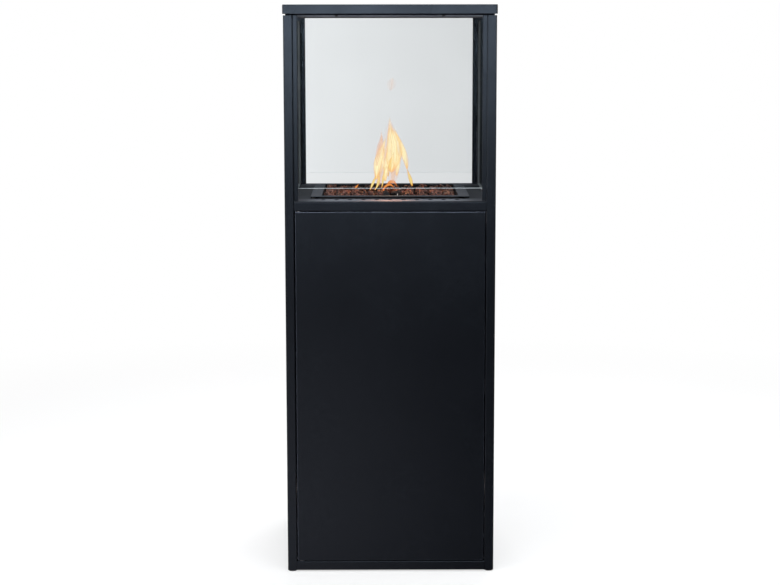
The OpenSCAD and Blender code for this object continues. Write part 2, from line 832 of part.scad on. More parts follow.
// Pilot pipe: a thin tube from the back of the valve, round two bends and up into the pilot burner
pilot_pipe_r = 2;
pilot_pipe_wall = 0.5;
pilot_bend_r = 10;
pilot_pipe_in = 4;
solder_gap = 0.05;
pilot_pipe_z = pilot_bottom - pilot_bend_r - solder_gap;
pilot_pipe_x = valve_x - 14;
module pilot_pipe() {
  at = pilot_places[1];
  color(brass)
    union() {
      translate([pilot_pipe_x, valve_back - pilot_pipe_in, pilot_pipe_z])
        rotate([-90, 0, 0])
          linear_extrude(at[1] - pilot_bend_r - valve_back + pilot_pipe_in)
            tube_profile(pilot_pipe_r, pilot_pipe_wall);
      translate([pilot_pipe_x - pilot_bend_r, at[1] - pilot_bend_r, pilot_pipe_z])
        pipe_bend(pilot_bend_r, pilot_pipe_r, pilot_pipe_wall);
      translate([at[0] + pilot_bend_r, at[1], pilot_pipe_z])
        rotate([0, 90, 0])
          linear_extrude(pilot_pipe_x - at[0] - 2 * pilot_bend_r)
            tube_profile(pilot_pipe_r, pilot_pipe_wall);
      translate([at[0] + pilot_bend_r, at[1], pilot_pipe_z + pilot_bend_r])
        rotate([-90, 90, 0]) pipe_bend(pilot_bend_r, pilot_pipe_r, pilot_pipe_wall);
    }
}

// Thermocouple: a tapered probe held in the bracket
module thermocouple() {
  at = pilot_places[2];
  color(inner_steel)
    translate([at[0], at[1], 0])
      rotate_extrude()
        polygon([
          [0, pan_floor - 14], [at[2], pan_floor - 14], [at[2], bracket_z],
          [at[2] + 1.2, bracket_z], [at[2] + 1.2, bracket_z + 3], [at[2], bracket_z + 3],
          [at[2], bracket_z + 10], [at[2] - 0.7, bracket_z + 12],
          [at[2] - 0.7, bracket_z + 18], [0, bracket_z + 18]
        ]);
}

// Panes and the channels that hold them, drawn at the front of the plan
slot_w = pane_t + 2 * gasket_t;
channel_w = slot_w + 2 * channel_t;
pane_mid = half_w - pane_inset;
slot_bottom = inner_w - channel_t;
pane_half = slot_bottom - 1;
channel_end = slot_bottom - channel_depth;
front_pane_z = [deck_top + front_air, post_top - front_top_gap];
side_pane_z = [deck_top + side_rest, post_top - side_exhaust];
module pane(z) {
  bevel = 0.8;
  translate([0, -pane_mid, z[0]])
    linear_extrude(z[1] - z[0])
      polygon([
        [-pane_half, -pane_t / 2 + bevel], [-pane_half + bevel, -pane_t / 2],
        [pane_half - bevel, -pane_t / 2], [pane_half, -pane_t / 2 + bevel],
        [pane_half, pane_t / 2 - bevel], [pane_half - bevel, pane_t / 2],
        [-pane_half + bevel, pane_t / 2], [-pane_half, pane_t / 2 - bevel]
      ]);
}
module glass_front() { color(glass_tint) pane(front_pane_z); }
module glass_back() { color(glass_tint) rotate([0, 0, 180]) pane(front_pane_z); }
module glass_left() { color(glass_tint) rotate([0, 0, -90]) pane(side_pane_z); }
module glass_right() { color(glass_tint) rotate([0, 0, 90]) pane(side_pane_z); }

// A pair of channels on the inner faces of two posts, from the deck to the ring
module channel_pair() {
  color(steel_dark)
    for (sx = [0, 1])
      mirror([sx, 0, 0])
        translate([-inner_w, -pane_mid - channel_w / 2, deck_top])
          linear_extrude(post_top - deck_top)
            difference() {
              square([channel_t + channel_depth, channel_w]);
              translate([channel_t, channel_t]) square([channel_depth + 1, slot_w]);
            }
}
module channels_front() { channel_pair(); }
module channels_back() { rotate([0, 0, 180]) channel_pair(); }
module channels_left() { rotate([0, 0, -90]) channel_pair(); }
module channels_right() { rotate([0, 0, 90]) channel_pair(); }

// Gasket strips on both faces of each pane, in the channels
module gasket_set(z) {
  for (sx = [0, 1], side = [-1, 1])
    mirror([sx, 0, 0])
      span([-slot_bottom + 1, -pane_mid + side * (pane_t + gasket_t) / 2 - gasket_t / 2, z[0]],
           [-channel_end, -pane_mid + side * (pane_t + gasket_t) / 2 + gasket_t / 2, z[1]]);
}
module glass_gaskets() {
  color(plastic) {
    for (turn = [0, 180]) rotate([0, 0, turn]) gasket_set(front_pane_z);
    for (turn = [90, 270]) rotate([0, 0, turn]) gasket_set(side_pane_z);
  }
}

// Blocks in the channels that the panes stand on
module rest_pair(top) {
  for (sx = [0, 1])
    mirror([sx, 0, 0])
      span([-slot_bottom, -pane_mid - slot_w / 2, deck_top],
           [-channel_end, -pane_mid + slot_w / 2, top]);
}
module glass_rests() {
  color(plastic) {
    for (turn = [0, 180]) rotate([0, 0, turn]) rest_pair(front_pane_z[0]);
    for (turn = [90, 270]) rotate([0, 0, turn]) rest_pair(side_pane_z[0]);
  }
}

// Control plate: a folded sheet behind the front deck rail, with the valve and igniter holes
module control_plate() {
  color(steel_dark)
    difference() {
      union() {
        span([control_left, -inner_w, control_shelf],
             [control_right, -inner_w + sheet, control_tab]);
        span([control_left, -inner_w, control_shelf],
             [control_right, control_face + sheet, control_shelf + sheet]);
        span([control_left, control_face, control_bottom],
             [control_right, control_face + sheet, control_shelf + sheet]);
      }
      for (x = control_screws)
        rod_y(x, control_screw_z, -inner_w - 1, -inner_w + sheet + 1, screw_r + screw_gap);
      rod_y(valve_x, valve_z, control_face - 1, control_face + sheet + 1, collar_r + collar_gap);
      rod_y(igniter_x, igniter_z, control_face - 1, control_face + sheet + 1, igniter_r);
    }
}

// Gas valve: a cast block behind the control plate, bored for the collar and drilled for gas
module gas_valve() {
  color(inner_steel)
    difference() {
      union() {
        translate([valve_x, control_face + sheet + valve_d / 2, valve_bottom])
          linear_extrude(valve_top - valve_bottom) round_square(valve_w, valve_d, 4);
        translate([valve_x, control_face + sheet + valve_d / 2, valve_top - eps])
          cylinder(h = 10, r = 13);
      }
      rod_y(valve_x, valve_z, control_face + sheet - 1, control_face + sheet + collar_bore_d,
            collar_r + run_gap);
      rod_y(valve_x, pipe_z, valve_back - 10, valve_back + 1, pipe_r - pipe_wall);
      rod_y(pilot_pipe_x, pilot_pipe_z, valve_back - pilot_pipe_in - 1, valve_back + 1,
            pilot_pipe_r + solder_gap);
    }
}

// Inlet fitting: a hexagon and an outside thread below the valve, for the regulator hose
inlet_r = 8.33;
inlet_len = 16;
inlet_hex_h = 8;
inlet_y = control_face + sheet + valve_d / 2;
module inlet_fitting() {
  color(brass)
    translate([valve_x, inlet_y, valve_bottom - inlet_hex_h - inlet_len])
      difference() {
        union() {
          cylinder(h = inlet_len + eps, r = inlet_r);
          translate([0, 0, inlet_len]) cylinder(h = inlet_hex_h, r = 12, $fn = 6);
        }
        translate([0, 0, -1]) cylinder(h = inlet_len + inlet_hex_h, r = 3);
      }
}

// Push collar of the valve: slides in when the knob is pressed
collar_proud = 1;
stem_shaft_r = 4;
module valve_collar() {
  depth = collar_bore_d - valve_push - 1;
  color(brass)
    difference() {
      rod_y(valve_x, valve_z, control_face - collar_proud, control_face + sheet + depth, collar_r);
      rod_y(valve_x, valve_z, control_face - collar_proud - 1,
            control_face + sheet + depth + 1, stem_shaft_r + run_gap);
    }
}

// Stem that turns in the collar, with a shoulder behind it and a flat for the knob
knob_back = control_face - collar_proud - valve_push - 0.5;
knob_len = 15;
knob_front = knob_back - knob_len;
stem_end = knob_front + 5;
module valve_stem() {
  depth = collar_bore_d - valve_push - 1;
  color(inner_steel)
    difference() {
      rod_y(valve_x, valve_z, stem_end, control_face + sheet + depth, stem_shaft_r);
      span([valve_x - stem_shaft_r, stem_end - 1, valve_z + stem_shaft_r - 1],
           [valve_x + stem_shaft_r, knob_back, valve_z + stem_shaft_r + 1]);
    }
}

// Control knob: a tapered grip with a raised bar, on the flatted stem
module control_knob() {
  grips = 24;
  color(plastic)
    difference() {
      translate([valve_x, knob_back, valve_z])
        rotate([90, 0, 0])
          rotate_extrude()
            polygon([
              [0, 0], [knob_dia / 2, 0], [knob_dia / 2, 2], [knob_dia / 2 - 3, 4],
              [knob_dia / 2 - 4, knob_len - 1], [knob_dia / 2 - 5, knob_len], [0, knob_len]
            ]);
      difference() {
        rod_y(valve_x, valve_z, stem_end, knob_back + 1, stem_shaft_r);
        span([valve_x - stem_shaft_r, stem_end - 1, valve_z + stem_shaft_r - 1],
             [valve_x + stem_shaft_r, knob_back + 2, valve_z + stem_shaft_r + 1]);
      }
      for (i = [0:grips - 1])
        translate([valve_x, 0, valve_z])
          rotate([0, i * 360 / grips, 0])
            rod_y(knob_dia / 2 - 2.6, 0, knob_front - 1, knob_back - 4, 1.2, $fn = 16);
      span([valve_x - 1, knob_front - 1, valve_z + 4],
           [valve_x + 1, knob_front + 1, valve_z + knob_dia / 2 - 6]);
    }
}

// Piezo igniter: a barrel through the control plate with a nut behind its flange
igniter_len = 46;
igniter_flange = 2;
module igniter_body() {
  color(plastic)
    difference() {
      union() {
        rod_y(igniter_x, igniter_z, control_face - igniter_flange, control_face, igniter_r + 2.5);
        rod_y(igniter_x, igniter_z, control_face - eps, control_face + igniter_len, igniter_r);
        translate([igniter_x, control_face + sheet, igniter_z])
          rotate([-90, 0, 0]) cylinder(h = 5, r = igniter_r + 4, $fn = 6);
        rod_y(igniter_x, igniter_z, control_face + igniter_len - eps,
              control_face + igniter_len + 8, 3);
      }
      rod_y(igniter_x, igniter_z, control_face - igniter_flange - 1,
            control_face + button_push + 14, button_dia / 2 + run_gap);
    }
}

// Igniter button: slides into the barrel
module igniter_button() {
  proud = button_push + 3;
  color("#8c2a22")
    translate([igniter_x, control_face - igniter_flange - proud, igniter_z])
      rotate([-90, 0, 0])
        rotate_extrude()
          polygon([
            [0, 0], [button_dia / 2 - 1, 0], [button_dia / 2, 1],
            [button_dia / 2, proud + igniter_flange + 13], [0, proud + igniter_flange + 13]
          ]);
}

// Door: a folded sheet pan that closes the bottle compartment
module door() {
  color(steel_dark)
    difference() {
      translate([0, 0, door_bottom])
        linear_extrude(door_top - door_bottom)
          translate([0, -half_w + door_d / 2]) round_square(2 * door_half, door_d, door_r);
      span([-door_half + sheet, -half_w + sheet, door_bottom + sheet],
           [door_half - sheet, door_back - sheet, door_top - sheet]);
      span([-door_half + door_lip, -half_w + sheet, door_bottom + door_lip],
           [door_half - door_lip, door_back + 1, door_top - door_lip]);
      translate([pin_x, pin_y, door_bottom - 1]) cylinder(h = sheet + 2, r = bush_dia / 2);
      translate([pin_x, pin_y, door_top - sheet - 1]) cylinder(h = sheet + 2, r = bush_dia / 2);
    }
}

// Hat-section stiffeners across the back of the door skin
hat_w = 60;
hat_d = 10;
hat_rim = 12;
module door_stiffeners() {
  color(inner_steel)
    for (part_up = [0.25, 0.5, 0.75])
      translate([-(door_half - door_lip - 12), -half_w + sheet,
                 door_bottom + part_up * (door_top - door_bottom)])
        rotate([90, 0, 90])
          linear_extrude(2 * (door_half - door_lip - 12))
            polygon([
              [0, -hat_w / 2 - hat_rim], [sheet, -hat_w / 2 - hat_rim], [sheet, -hat_w / 2],
              [hat_d, -hat_w / 2 + hat_d], [hat_d, hat_w / 2 - hat_d], [sheet, hat_w / 2],
              [sheet, hat_w / 2 + hat_rim], [0, hat_w / 2 + hat_rim], [0, hat_w / 2 - 1],
              [hat_d - sheet, hat_w / 2 - hat_d - 1], [hat_d - sheet, -hat_w / 2 + hat_d + 1],
              [0, -hat_w / 2 + 1]
            ]);
}

// Flanged bushes in the top and bottom of the door
bush_flange = 1.7;
bush_len = 8;
module door_bushes() {
  color(brass)
    for (end = [0, 1])
      translate([pin_x, pin_y, end == 0 ? door_bottom : door_top])
        mirror([0, 0, end])
          rotate_extrude()
            polygon([
              [pin_r + run_gap, -door_gap + 0.3], [bush_dia / 2 + 1, -door_gap + 0.3],
              [bush_dia / 2 + 1, 0], [bush_dia / 2, 0],
              [bush_dia / 2, bush_len], [pin_r + run_gap, bush_len]
            ]);
}

// Hinge pins pressed into the base rail and the deck rail
module hinge_pins() {
  reach = door_gap + bush_len + 2;
  color(inner_steel) {
    translate([pin_x, pin_y, rail_top - pin_grip]) cylinder(h = pin_grip + reach, r = pin_r);
    translate([pin_x, pin_y, deck_rail_bottom - reach]) cylinder(h = pin_grip + reach, r = pin_r);
  }
}

// Push latch: a barrel on a bracket behind the right post
latch_len = 44;
plunger_in = 24;
module latch_housing() {
  color(plastic)
    difference() {
      union() {
        span([latch_x - latch_r - 2, -inner_w, latch_z - 18],
             [bracket_end, -inner_w + sheet, latch_z + 18]);
        rod_y(latch_x, latch_z, -inner_w - 1.5, -inner_w + latch_len, latch_r);
      }
      for (z = latch_screws)
        rod_y(latch_screw_x, z, -inner_w - 1, -inner_w + sheet + 1, screw_r + screw_gap);
      rod_y(latch_x, latch_z, -inner_w - 3, -inner_w + plunger_in, plunger_r + run_gap);
    }
}

// Plunger of the latch, 0.3 mm behind the door's lip
module latch_plunger() {
  tip = door_back + 0.3;
  color(ceramic)
    translate([latch_x, tip, latch_z])
      rotate([-90, 0, 0])
        rotate_extrude()
          polygon([
            [0, 0], [plunger_r - 1, 0], [plunger_r, 1],
            [plunger_r, -inner_w + plunger_in - latch_push - 1 - tip],
            [0, -inner_w + plunger_in - latch_push - 1 - tip]
          ]);
}

post_front_left();
post_front_right();
post_back_left();
post_back_right();
foot_front_left();
foot_front_right();
foot_back_left();
foot_back_right();
foot_inserts();
base_rails();
deck_rails();
top_rails();
cap();
cap_screws();
heat_shield();
floor_plate();
side_panel_left();
side_panel_right();
back_panel();
panel_screws();
inner_screws();
deck_plate();
plate_spacers();
burner_plate();
burner_pan();
burner_tube();
rock_grate();
lava_rocks();
injector();
gas_pipe();
pilot_bracket();
pilot_burner();
spark_electrode();
pilot_pipe();
thermocouple();
glass_front();
glass_back();
glass_left();
glass_right();
channels_front();
channels_back();
channels_left();
channels_right();
glass_gaskets();
glass_rests();
control_plate();
gas_valve();
inlet_fitting();
valve_collar();
valve_stem();
control_knob();
igniter_body();
igniter_button();
door();
door_stiffeners();
door_bushes();
hinge_pins();
latch_housing();
latch_plunger();
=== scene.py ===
"""Looks of the gas fire column: finishes for its solids, detailed stones, the flame, and a plain studio."""

import json
import math

import bmesh
import bpy
import numpy as np
from mathutils import Matrix, Vector, noise


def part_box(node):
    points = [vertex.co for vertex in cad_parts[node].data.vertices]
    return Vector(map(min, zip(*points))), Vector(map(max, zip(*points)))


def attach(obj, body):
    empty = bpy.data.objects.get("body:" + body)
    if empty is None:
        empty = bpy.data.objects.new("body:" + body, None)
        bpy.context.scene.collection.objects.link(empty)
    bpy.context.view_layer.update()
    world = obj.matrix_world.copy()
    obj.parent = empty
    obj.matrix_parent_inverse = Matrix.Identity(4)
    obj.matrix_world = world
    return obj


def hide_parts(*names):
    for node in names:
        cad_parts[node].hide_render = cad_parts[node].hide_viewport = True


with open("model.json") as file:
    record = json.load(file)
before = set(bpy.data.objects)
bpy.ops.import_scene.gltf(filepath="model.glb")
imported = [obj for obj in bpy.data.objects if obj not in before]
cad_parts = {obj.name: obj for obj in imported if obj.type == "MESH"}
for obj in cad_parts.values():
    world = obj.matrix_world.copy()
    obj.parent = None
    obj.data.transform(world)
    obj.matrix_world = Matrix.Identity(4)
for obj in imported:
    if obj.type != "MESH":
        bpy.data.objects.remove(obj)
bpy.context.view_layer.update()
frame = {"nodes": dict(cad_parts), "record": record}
MM = 0.001


# Node graphs

class Graph:
    """The node tree of a material or a world, with short calls for the nodes that are used here."""

    def __init__(self, owner):
        owner.use_nodes = True
        self.tree = owner.node_tree
        self.tree.nodes.clear()

    def node(self, kind, inputs=None, **settings):
        """A new node with the given settings, and with values or links for some of its inputs."""
        made = self.tree.nodes.new("ShaderNode" + kind)
        for key, value in settings.items():
            setattr(made, key, value)
        for key, value in (inputs or {}).items():
            self.put(made.inputs[key], value)
        return made

    def put(self, socket, value):
        """Links an output to a socket, or sets the socket's own value; colours are opaque."""
        if isinstance(value, bpy.types.NodeSocket):
            self.tree.links.new(value, socket)
        elif socket.type == "RGBA":
            socket.default_value = (*value, 1.0)
        else:
            socket.default_value = value

    def math(self, operation, a, b=0.0, clamp=False):
        return self.node("Math", {0: a, 1: b}, operation=operation, use_clamp=clamp).outputs[0]

    def plus(self, a, b):
        return self.math("ADD", a, b)

    def minus(self, a, b):
        return self.math("SUBTRACT", a, b)

    def times(self, a, b):
        return self.math("MULTIPLY", a, b)

    def larger(self, a, b):
        return self.math("MAXIMUM", a, b)

    def unsigned(self, value):
        return self.math("ABSOLUTE", value)

    def split(self, vector):
        """The x, y and z of a vector."""
        return tuple(self.node("SeparateXYZ", {0: vector}).outputs)

    def remap(self, value, low, high, to_low=0.0, to_high=1.0, smooth=False):
        """The value carried over from one range to another and kept inside it."""
        made = self.node("MapRange", dict(enumerate((value, low, high, to_low, to_high))),
                         interpolation_type="SMOOTHSTEP" if smooth else "LINEAR")
        return made.outputs["Result"]

    def blend(self, amount, first, second):
        return self.node("MixShader", dict(enumerate((amount, first, second)))).outputs[0]


class Shader(Graph):
    """A material; its textures lie in the object's own coordinates."""

    def __init__(self, name):
        self.material = bpy.data.materials.new(name)
        super().__init__(self.material)
        self.place = self.node("TexCoord").outputs["Object"]

    def stretched(self, scale):
        return self.node("Mapping", {"Vector": self.place, "Scale": scale}).outputs["Vector"]

    def noise(self, scale, detail=4.0, rough=0.55, vector=None, warp=0.0):
        return self.node("TexNoise", {"Vector": vector or self.place, "Scale": scale, "Detail": detail,
                                      "Roughness": rough, "Distortion": warp}).outputs["Fac"]

    def cells(self, scale):
        return self.node("TexVoronoi", {"Vector": self.place, "Scale": scale}).outputs["Distance"]

    def ramp(self, value, *stops):
        """A colour between the given pairs of place and colour."""
        made = self.node("ValToRGB", {"Fac": value})
        band = made.color_ramp.elements
        while len(band) < len(stops):
            band.new(0.5)
        for element, (at, colour) in zip(band, stops):
            element.position = at
            element.color = (*colour, 1.0)
        return made.outputs["Color"]

    def mix(self, amount, a, b):
        """A colour between a and b; sockets 6 and 7 are the mix node's two colours, output 2 its result."""
        return self.node("Mix", {"Factor": amount, 6: a, 7: b}, data_type="RGBA").outputs[2]

    def bump(self, height, distance, strength, normal=None):
        inputs = {"Strength": strength, "Distance": distance, "Height": height}
        if normal is not None:
            inputs["Normal"] = normal
        return self.node("Bump", inputs).outputs["Normal"]

    def soft_edges(self, radius):
        return self.node("Bevel", {"Radius": radius}, samples=4).outputs["Normal"]

    def surface(self, **inputs):
        """A principled surface; an underscore in a name stands for a space."""
        named = {name.replace("_", " "): value for name, value in inputs.items()}
        return self.node("BsdfPrincipled", named).outputs["BSDF"]

    def finish(self, surface):
        self.node("OutputMaterial", {"Surface": surface})
        return self.material


def shade(colour, factor):
    return tuple(min(1.0, c * factor) for c in colour)


# Materials

COAT = (0.0030, 0.0034, 0.0046)
COAT_TINT = (0.66, 0.80, 1.0)
# Near-black of the painted shade on the deck and the bottom rail, also used to darken the deck beside the
# tray
PAINTED_SHADE_BLACK = (0.0016, 0.0016, 0.0019)
# Near-black of the painted shade round the pilot
PILOT_SHADE_BLACK = (0.004, 0.003, 0.004)
SIDE_DARKENING = 0.78                   # how far the deck beside the tray is darkened towards the near-black

# Air holes in the deck: distance between two holes of a row, and between the row and the axis
HOLE_PITCH = 32.0 * MM
HOLE_ROW = 200.0 * MM

# The strip before the tray grows darker towards the posts, painted shade: where it starts and ends to grow
# darker, and how far
STRIP_SHADE_SPAN = (145.0 * MM, 200.0 * MM)
STRIP_SHADE = 0.60

# Painted shade covers each hole of a row: its middle lies nearer the deck's edge, and it is longer than wide
HOLE_SHADE_SHIFT = 7.0 * MM
HOLE_SHADE_SQUEEZE = 0.6
HOLE_SHADE_SPREAD = (5.0 * MM, 7.0 * MM)
HOLE_SHADE_REACH = 5.5 * HOLE_PITCH

# Painted shade in the gap round the pilot: distance of its middle from the electrode, half width, raggedness
# of its edge, and where it ends behind the front of the stones
PILOT_ASIDE = 13.0 * MM
PILOT_REACH = (21.0 * MM, 25.0 * MM)
PILOT_RAG = 5.0 * MM
PILOT_DEPTH = (115.0 * MM, 132.0 * MM)

GLASS_IOR = 1.45
# Ground edges of the panes: their pale colour, the colour of the painted glow on them, and how fast the
# painted highlight on the lower seam fades
GROUND_EDGE = (0.235, 0.268, 0.285)
PAINTED_EDGE_GLOW = (0.80, 0.83, 0.86)
HIGHLIGHT_SEAM_FADE = 0.2 * MM


def powder_coat(name, colour, gloss=0.25, grain=1.0, sheen=0.20, fold=1.1 * MM, fold_highlight=1.0, soot=None):
    """Fine-textured powder coat: a faint orange peel, cloudy sheen and rounded folds.

    On folds that don't face down the coat gets a painted highlight, paler by the given factor. The soot
    argument gives the share of painted shade, which on the deck also darkens the deck beside the tray.
    """
    s = Shader(name)
    cloud = s.noise(2.2, detail=3.0)
    speckle = s.noise(1500.0, detail=2.0, rough=0.7)
    tone = s.mix(s.remap(cloud, 0.3, 0.7), shade(colour, 0.86), shade(colour, 1.14))
    tone = s.mix(s.remap(speckle, 0.62, 0.8, 0.0, 0.35), tone, shade(colour, 2.2))
    rounded = s.soft_edges(fold)
    # painted highlight on the folds that don't face down
    if fold_highlight > 1.0:
        flat = s.node("NewGeometry").outputs["True Normal"]
        turn = s.node("VectorMath", {0: rounded, 1: flat}, operation="DOT_PRODUCT").outputs["Value"]
        highlit_fold = s.times(s.remap(turn, 0.97, 0.80), s.remap(s.split(rounded)[2], -0.25, -0.05))
        tone = s.mix(highlit_fold, tone, shade(colour, fold_highlight))
    if soot:
        # painted shade from the given share: near black, and without sheen
        black = soot(s)
        tone = s.mix(black, tone, PAINTED_SHADE_BLACK)
        sheen = s.remap(black, 0.0, 1.0, sheen, 0.0)
    rough = s.plus(s.remap(s.noise(7.0), 0.25, 0.75, gloss - 0.03, gloss + 0.04),
                   s.remap(speckle, 0.3, 0.7, -0.02, 0.02))
    peel = s.plus(s.times(s.noise(620.0, detail=2.0), 0.7), s.times(speckle, 0.3))
    normal = s.bump(peel, 0.05 * MM * grain, 0.5, rounded)
    return s.finish(s.surface(Base_Color=tone, Roughness=rough, Specular_IOR_Level=sheen,
                              Specular_Tint=COAT_TINT, Normal=normal))


def hole_shade(s, aside, deep):
    """Painted shade over the holes of the front and back row of the deck."""
    along_row = s.minus(s.math("MODULO", s.plus(aside, HOLE_PITCH / 2), HOLE_PITCH), HOLE_PITCH / 2)
    from_row = s.times(s.minus(deep, HOLE_ROW + HOLE_SHADE_SHIFT), HOLE_SHADE_SQUEEZE)
    off_hole = s.math("SQRT", s.plus(s.math("POWER", s.unsigned(along_row), 2.0),
                                     s.math("POWER", s.unsigned(from_row), 2.0)))
    return s.times(s.remap(off_hole, *HOLE_SHADE_SPREAD, 0.95, 0.0), s.math("LESS_THAN", aside, HOLE_SHADE_REACH))


def deck_painted_shade(s):
    """Painted shade on the deck: darkest under the burner plate, on the walls of the holes and over the
    holes, and darker along the front strip towards the posts; the deck beside the tray is darkened too.
    """
    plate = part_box("burner_plate")[1]
    deck_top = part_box("deck_plate")[1][2]
    x, y, z = s.split(s.place)
    aside, deep = s.unsigned(x), s.unsigned(y)
    off_plate = s.larger(s.minus(aside, plate[0] + 1.0 * MM), s.minus(deep, plate[1] - 12.0 * MM))
    # painted shade under the burner plate
    under = s.remap(off_plate, -1.0 * MM, 1.5 * MM, 1.0, 0.0)
    # the deck beside the tray darkened, and the front strip darker towards the posts as painted shade
    darker_beside_and_posts = s.larger(s.remap(deep, plate[1] + 2.0 * MM, plate[1] + 12.0 * MM, SIDE_DARKENING, 0.0),
                    s.remap(aside, *STRIP_SHADE_SPAN, 0.0, STRIP_SHADE))
    # painted shade on the walls of the holes
    inside = s.remap(z, deck_top - 0.25 * MM, deck_top - 0.05 * MM, 1.0, 0.0)
    return s.larger(s.larger(under, darker_beside_and_posts), s.larger(inside, hole_shade(s, aside, deep)))


def sill_shade(s):
    """Painted shade on the top of the bottom rail behind its front fold, where no light gets under the door.
    """
    low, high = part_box("base_rails")
    _, y, z = s.split(s.place)
    top = s.remap(z, high[2] - 0.4 * MM, high[2] - 0.1 * MM)
    behind = s.remap(y, low[1] + 1.0 * MM, low[1] + 2.0 * MM)
    return s.times(top, behind)


def brushed_steel(name, colour, heat):
    """Brushed sheet steel with long fine scratches, and straw to blue tints where it gets hot."""
    s = Shader(name)
    brushed = (0.02, 1.0, 1.0)
    strokes = s.noise(900.0, detail=3.0, rough=0.6, vector=s.stretched(brushed))
    wide = s.noise(60.0, detail=3.0, rough=0.5, vector=s.stretched(brushed))
    smudge = s.noise(9.0)
    tone = s.mix(s.remap(strokes, 0.3, 0.7), shade(colour, 0.8), shade(colour, 1.12))
    tone = s.mix(s.remap(smudge, 0.45, 0.75, 0.0, 0.35), tone, shade(colour, 0.62))
    tint = s.ramp(s.noise(14.0, detail=3.0), (0.3, (0.50, 0.33, 0.14)), (0.55, (0.30, 0.17, 0.16)),
                  (0.72, (0.13, 0.15, 0.24)))
    tone = s.mix(heat, tone, tint)
    rough = s.remap(s.plus(s.times(strokes, 0.6), s.times(smudge, 0.4)), 0.3, 0.7, 0.23, 0.42)
    normal = s.bump(s.plus(strokes, s.times(wide, 0.5)), 0.06 * MM, 0.6, s.soft_edges(0.6 * MM))
    return s.finish(s.surface(Base_Color=tone, Metallic=1.0, Roughness=rough, Normal=normal))


def sooty_steel(name, box=None):
    """Sheet steel that the flame has blackened; given its box, its outer sides get a paler, bluish tone that
    grows towards the top, painted light under the cap.
    """
    s = Shader(name)
    soot = s.noise(16.0, detail=5.0, rough=0.6, warp=0.5)
    tone = s.ramp(soot, (0.3, (0.010, 0.010, 0.012)), (0.6, (0.030, 0.027, 0.028)),
                  (0.8, (0.075, 0.060, 0.050)))
    if box:
        (_, _, foot), (_, reach, _) = box
        x, y, z = s.split(s.place)
        # painted light on the outer sides: paler and bluish, fading downwards
        outside = s.remap(s.larger(s.unsigned(x), s.unsigned(y)), reach - 3.0 * MM, reach - 2.0 * MM)
        painted_light_band = s.times(outside, s.remap(z, foot + 0.5 * MM, foot + 5.0 * MM, 0.12, 1.0))
        tone = s.mix(painted_light_band, tone, s.mix(soot, (0.23, 0.25, 0.29), (0.31, 0.33, 0.37)))
    rough = s.remap(soot, 0.3, 0.8, 0.75, 0.5)
    normal = s.bump(s.noise(500.0, detail=3.0), 0.08 * MM, 0.5, s.soft_edges(0.6 * MM))
    return s.finish(s.surface(Base_Color=tone, Metallic=0.3, Roughness=rough, Specular_IOR_Level=0.2,
                              Normal=normal))


def plated(name, colour):
    """Bright zinc plating with its fine spangle."""
    s = Shader(name)
    spangle = s.cells(260.0)
    cloud = s.noise(30.0)
    tone = s.mix(s.remap(spangle, 0.1, 0.7), shade(colour, 0.8), shade(colour, 1.15))
    tone = s.mix(s.remap(cloud, 0.4, 0.8, 0.0, 0.4), tone, shade(colour, 0.6))
    rough = s.remap(s.plus(spangle, cloud), 0.4, 1.4, 0.3, 0.5)
    normal = s.bump(spangle, 0.05 * MM, 0.5, s.soft_edges(0.5 * MM))
    return s.finish(s.surface(Base_Color=tone, Metallic=1.0, Roughness=rough, Normal=normal))


def turned_brass(name):
    """Machined brass with turning marks and a little tarnish."""
    s = Shader(name)
    marks = s.noise(1400.0, detail=2.0, rough=0.5, vector=s.stretched((0.15, 0.15, 1.0)))
    tarnish = s.noise(70.0, detail=5.0)
    tone = s.mix(s.remap(tarnish, 0.42, 0.72), (0.66, 0.48, 0.20), (0.33, 0.22, 0.10))
    rough = s.remap(s.plus(marks, tarnish), 0.7, 1.3, 0.22, 0.45)
    normal = s.bump(marks, 0.05 * MM, 0.5, s.soft_edges(0.4 * MM))
    return s.finish(s.surface(Base_Color=tone, Metallic=1.0, Roughness=rough, Normal=normal))


def cast_alloy(name, dark=(0.40, 0.41, 0.42), pale=(0.55, 0.56, 0.57)):
    """Sand-cast or sintered alloy with a grainy skin."""
    s = Shader(name)
    grain = s.noise(850.0, rough=0.7)
    tone = s.mix(s.remap(s.noise(40.0, detail=3.0), 0.35, 0.7), dark, pale)
    rough = s.remap(grain, 0.3, 0.7, 0.42, 0.62)
    normal = s.bump(grain, 0.2 * MM, 0.6, s.soft_edges(1.0 * MM))
    return s.finish(s.surface(Base_Color=tone, Metallic=0.9, Roughness=rough, Normal=normal))


def moulded(name, colour, gloss, grain=900.0):
    """Moulded plastic or rubber with a fine spark-eroded grain."""
    s = Shader(name)
    fine = s.noise(grain, detail=3.0, rough=0.6)
    wear = s.noise(28.0)
    tone = s.mix(s.remap(wear, 0.45, 0.8, 0.0, 0.6), colour, shade(colour, 1.9))
    rough = s.remap(s.plus(fine, wear), 0.6, 1.4, gloss - 0.08, gloss + 0.1)
    normal = s.bump(fine, 0.08 * MM, 0.5, s.soft_edges(0.6 * MM))
    return s.finish(s.surface(Base_Color=tone, Roughness=rough, Normal=normal))


def fired_ceramic(name):
    """Glazed ceramic with sooty patches."""
    s = Shader(name)
    soot = s.noise(160.0)
    tone = s.mix(s.remap(soot, 0.5, 0.75), (0.82, 0.79, 0.72), (0.36, 0.31, 0.26))
    rough = s.remap(soot, 0.3, 0.8, 0.18, 0.5)
    return s.finish(s.surface(Base_Color=tone, Roughness=rough, Normal=s.bump(soot, 0.06 * MM, 0.4)))


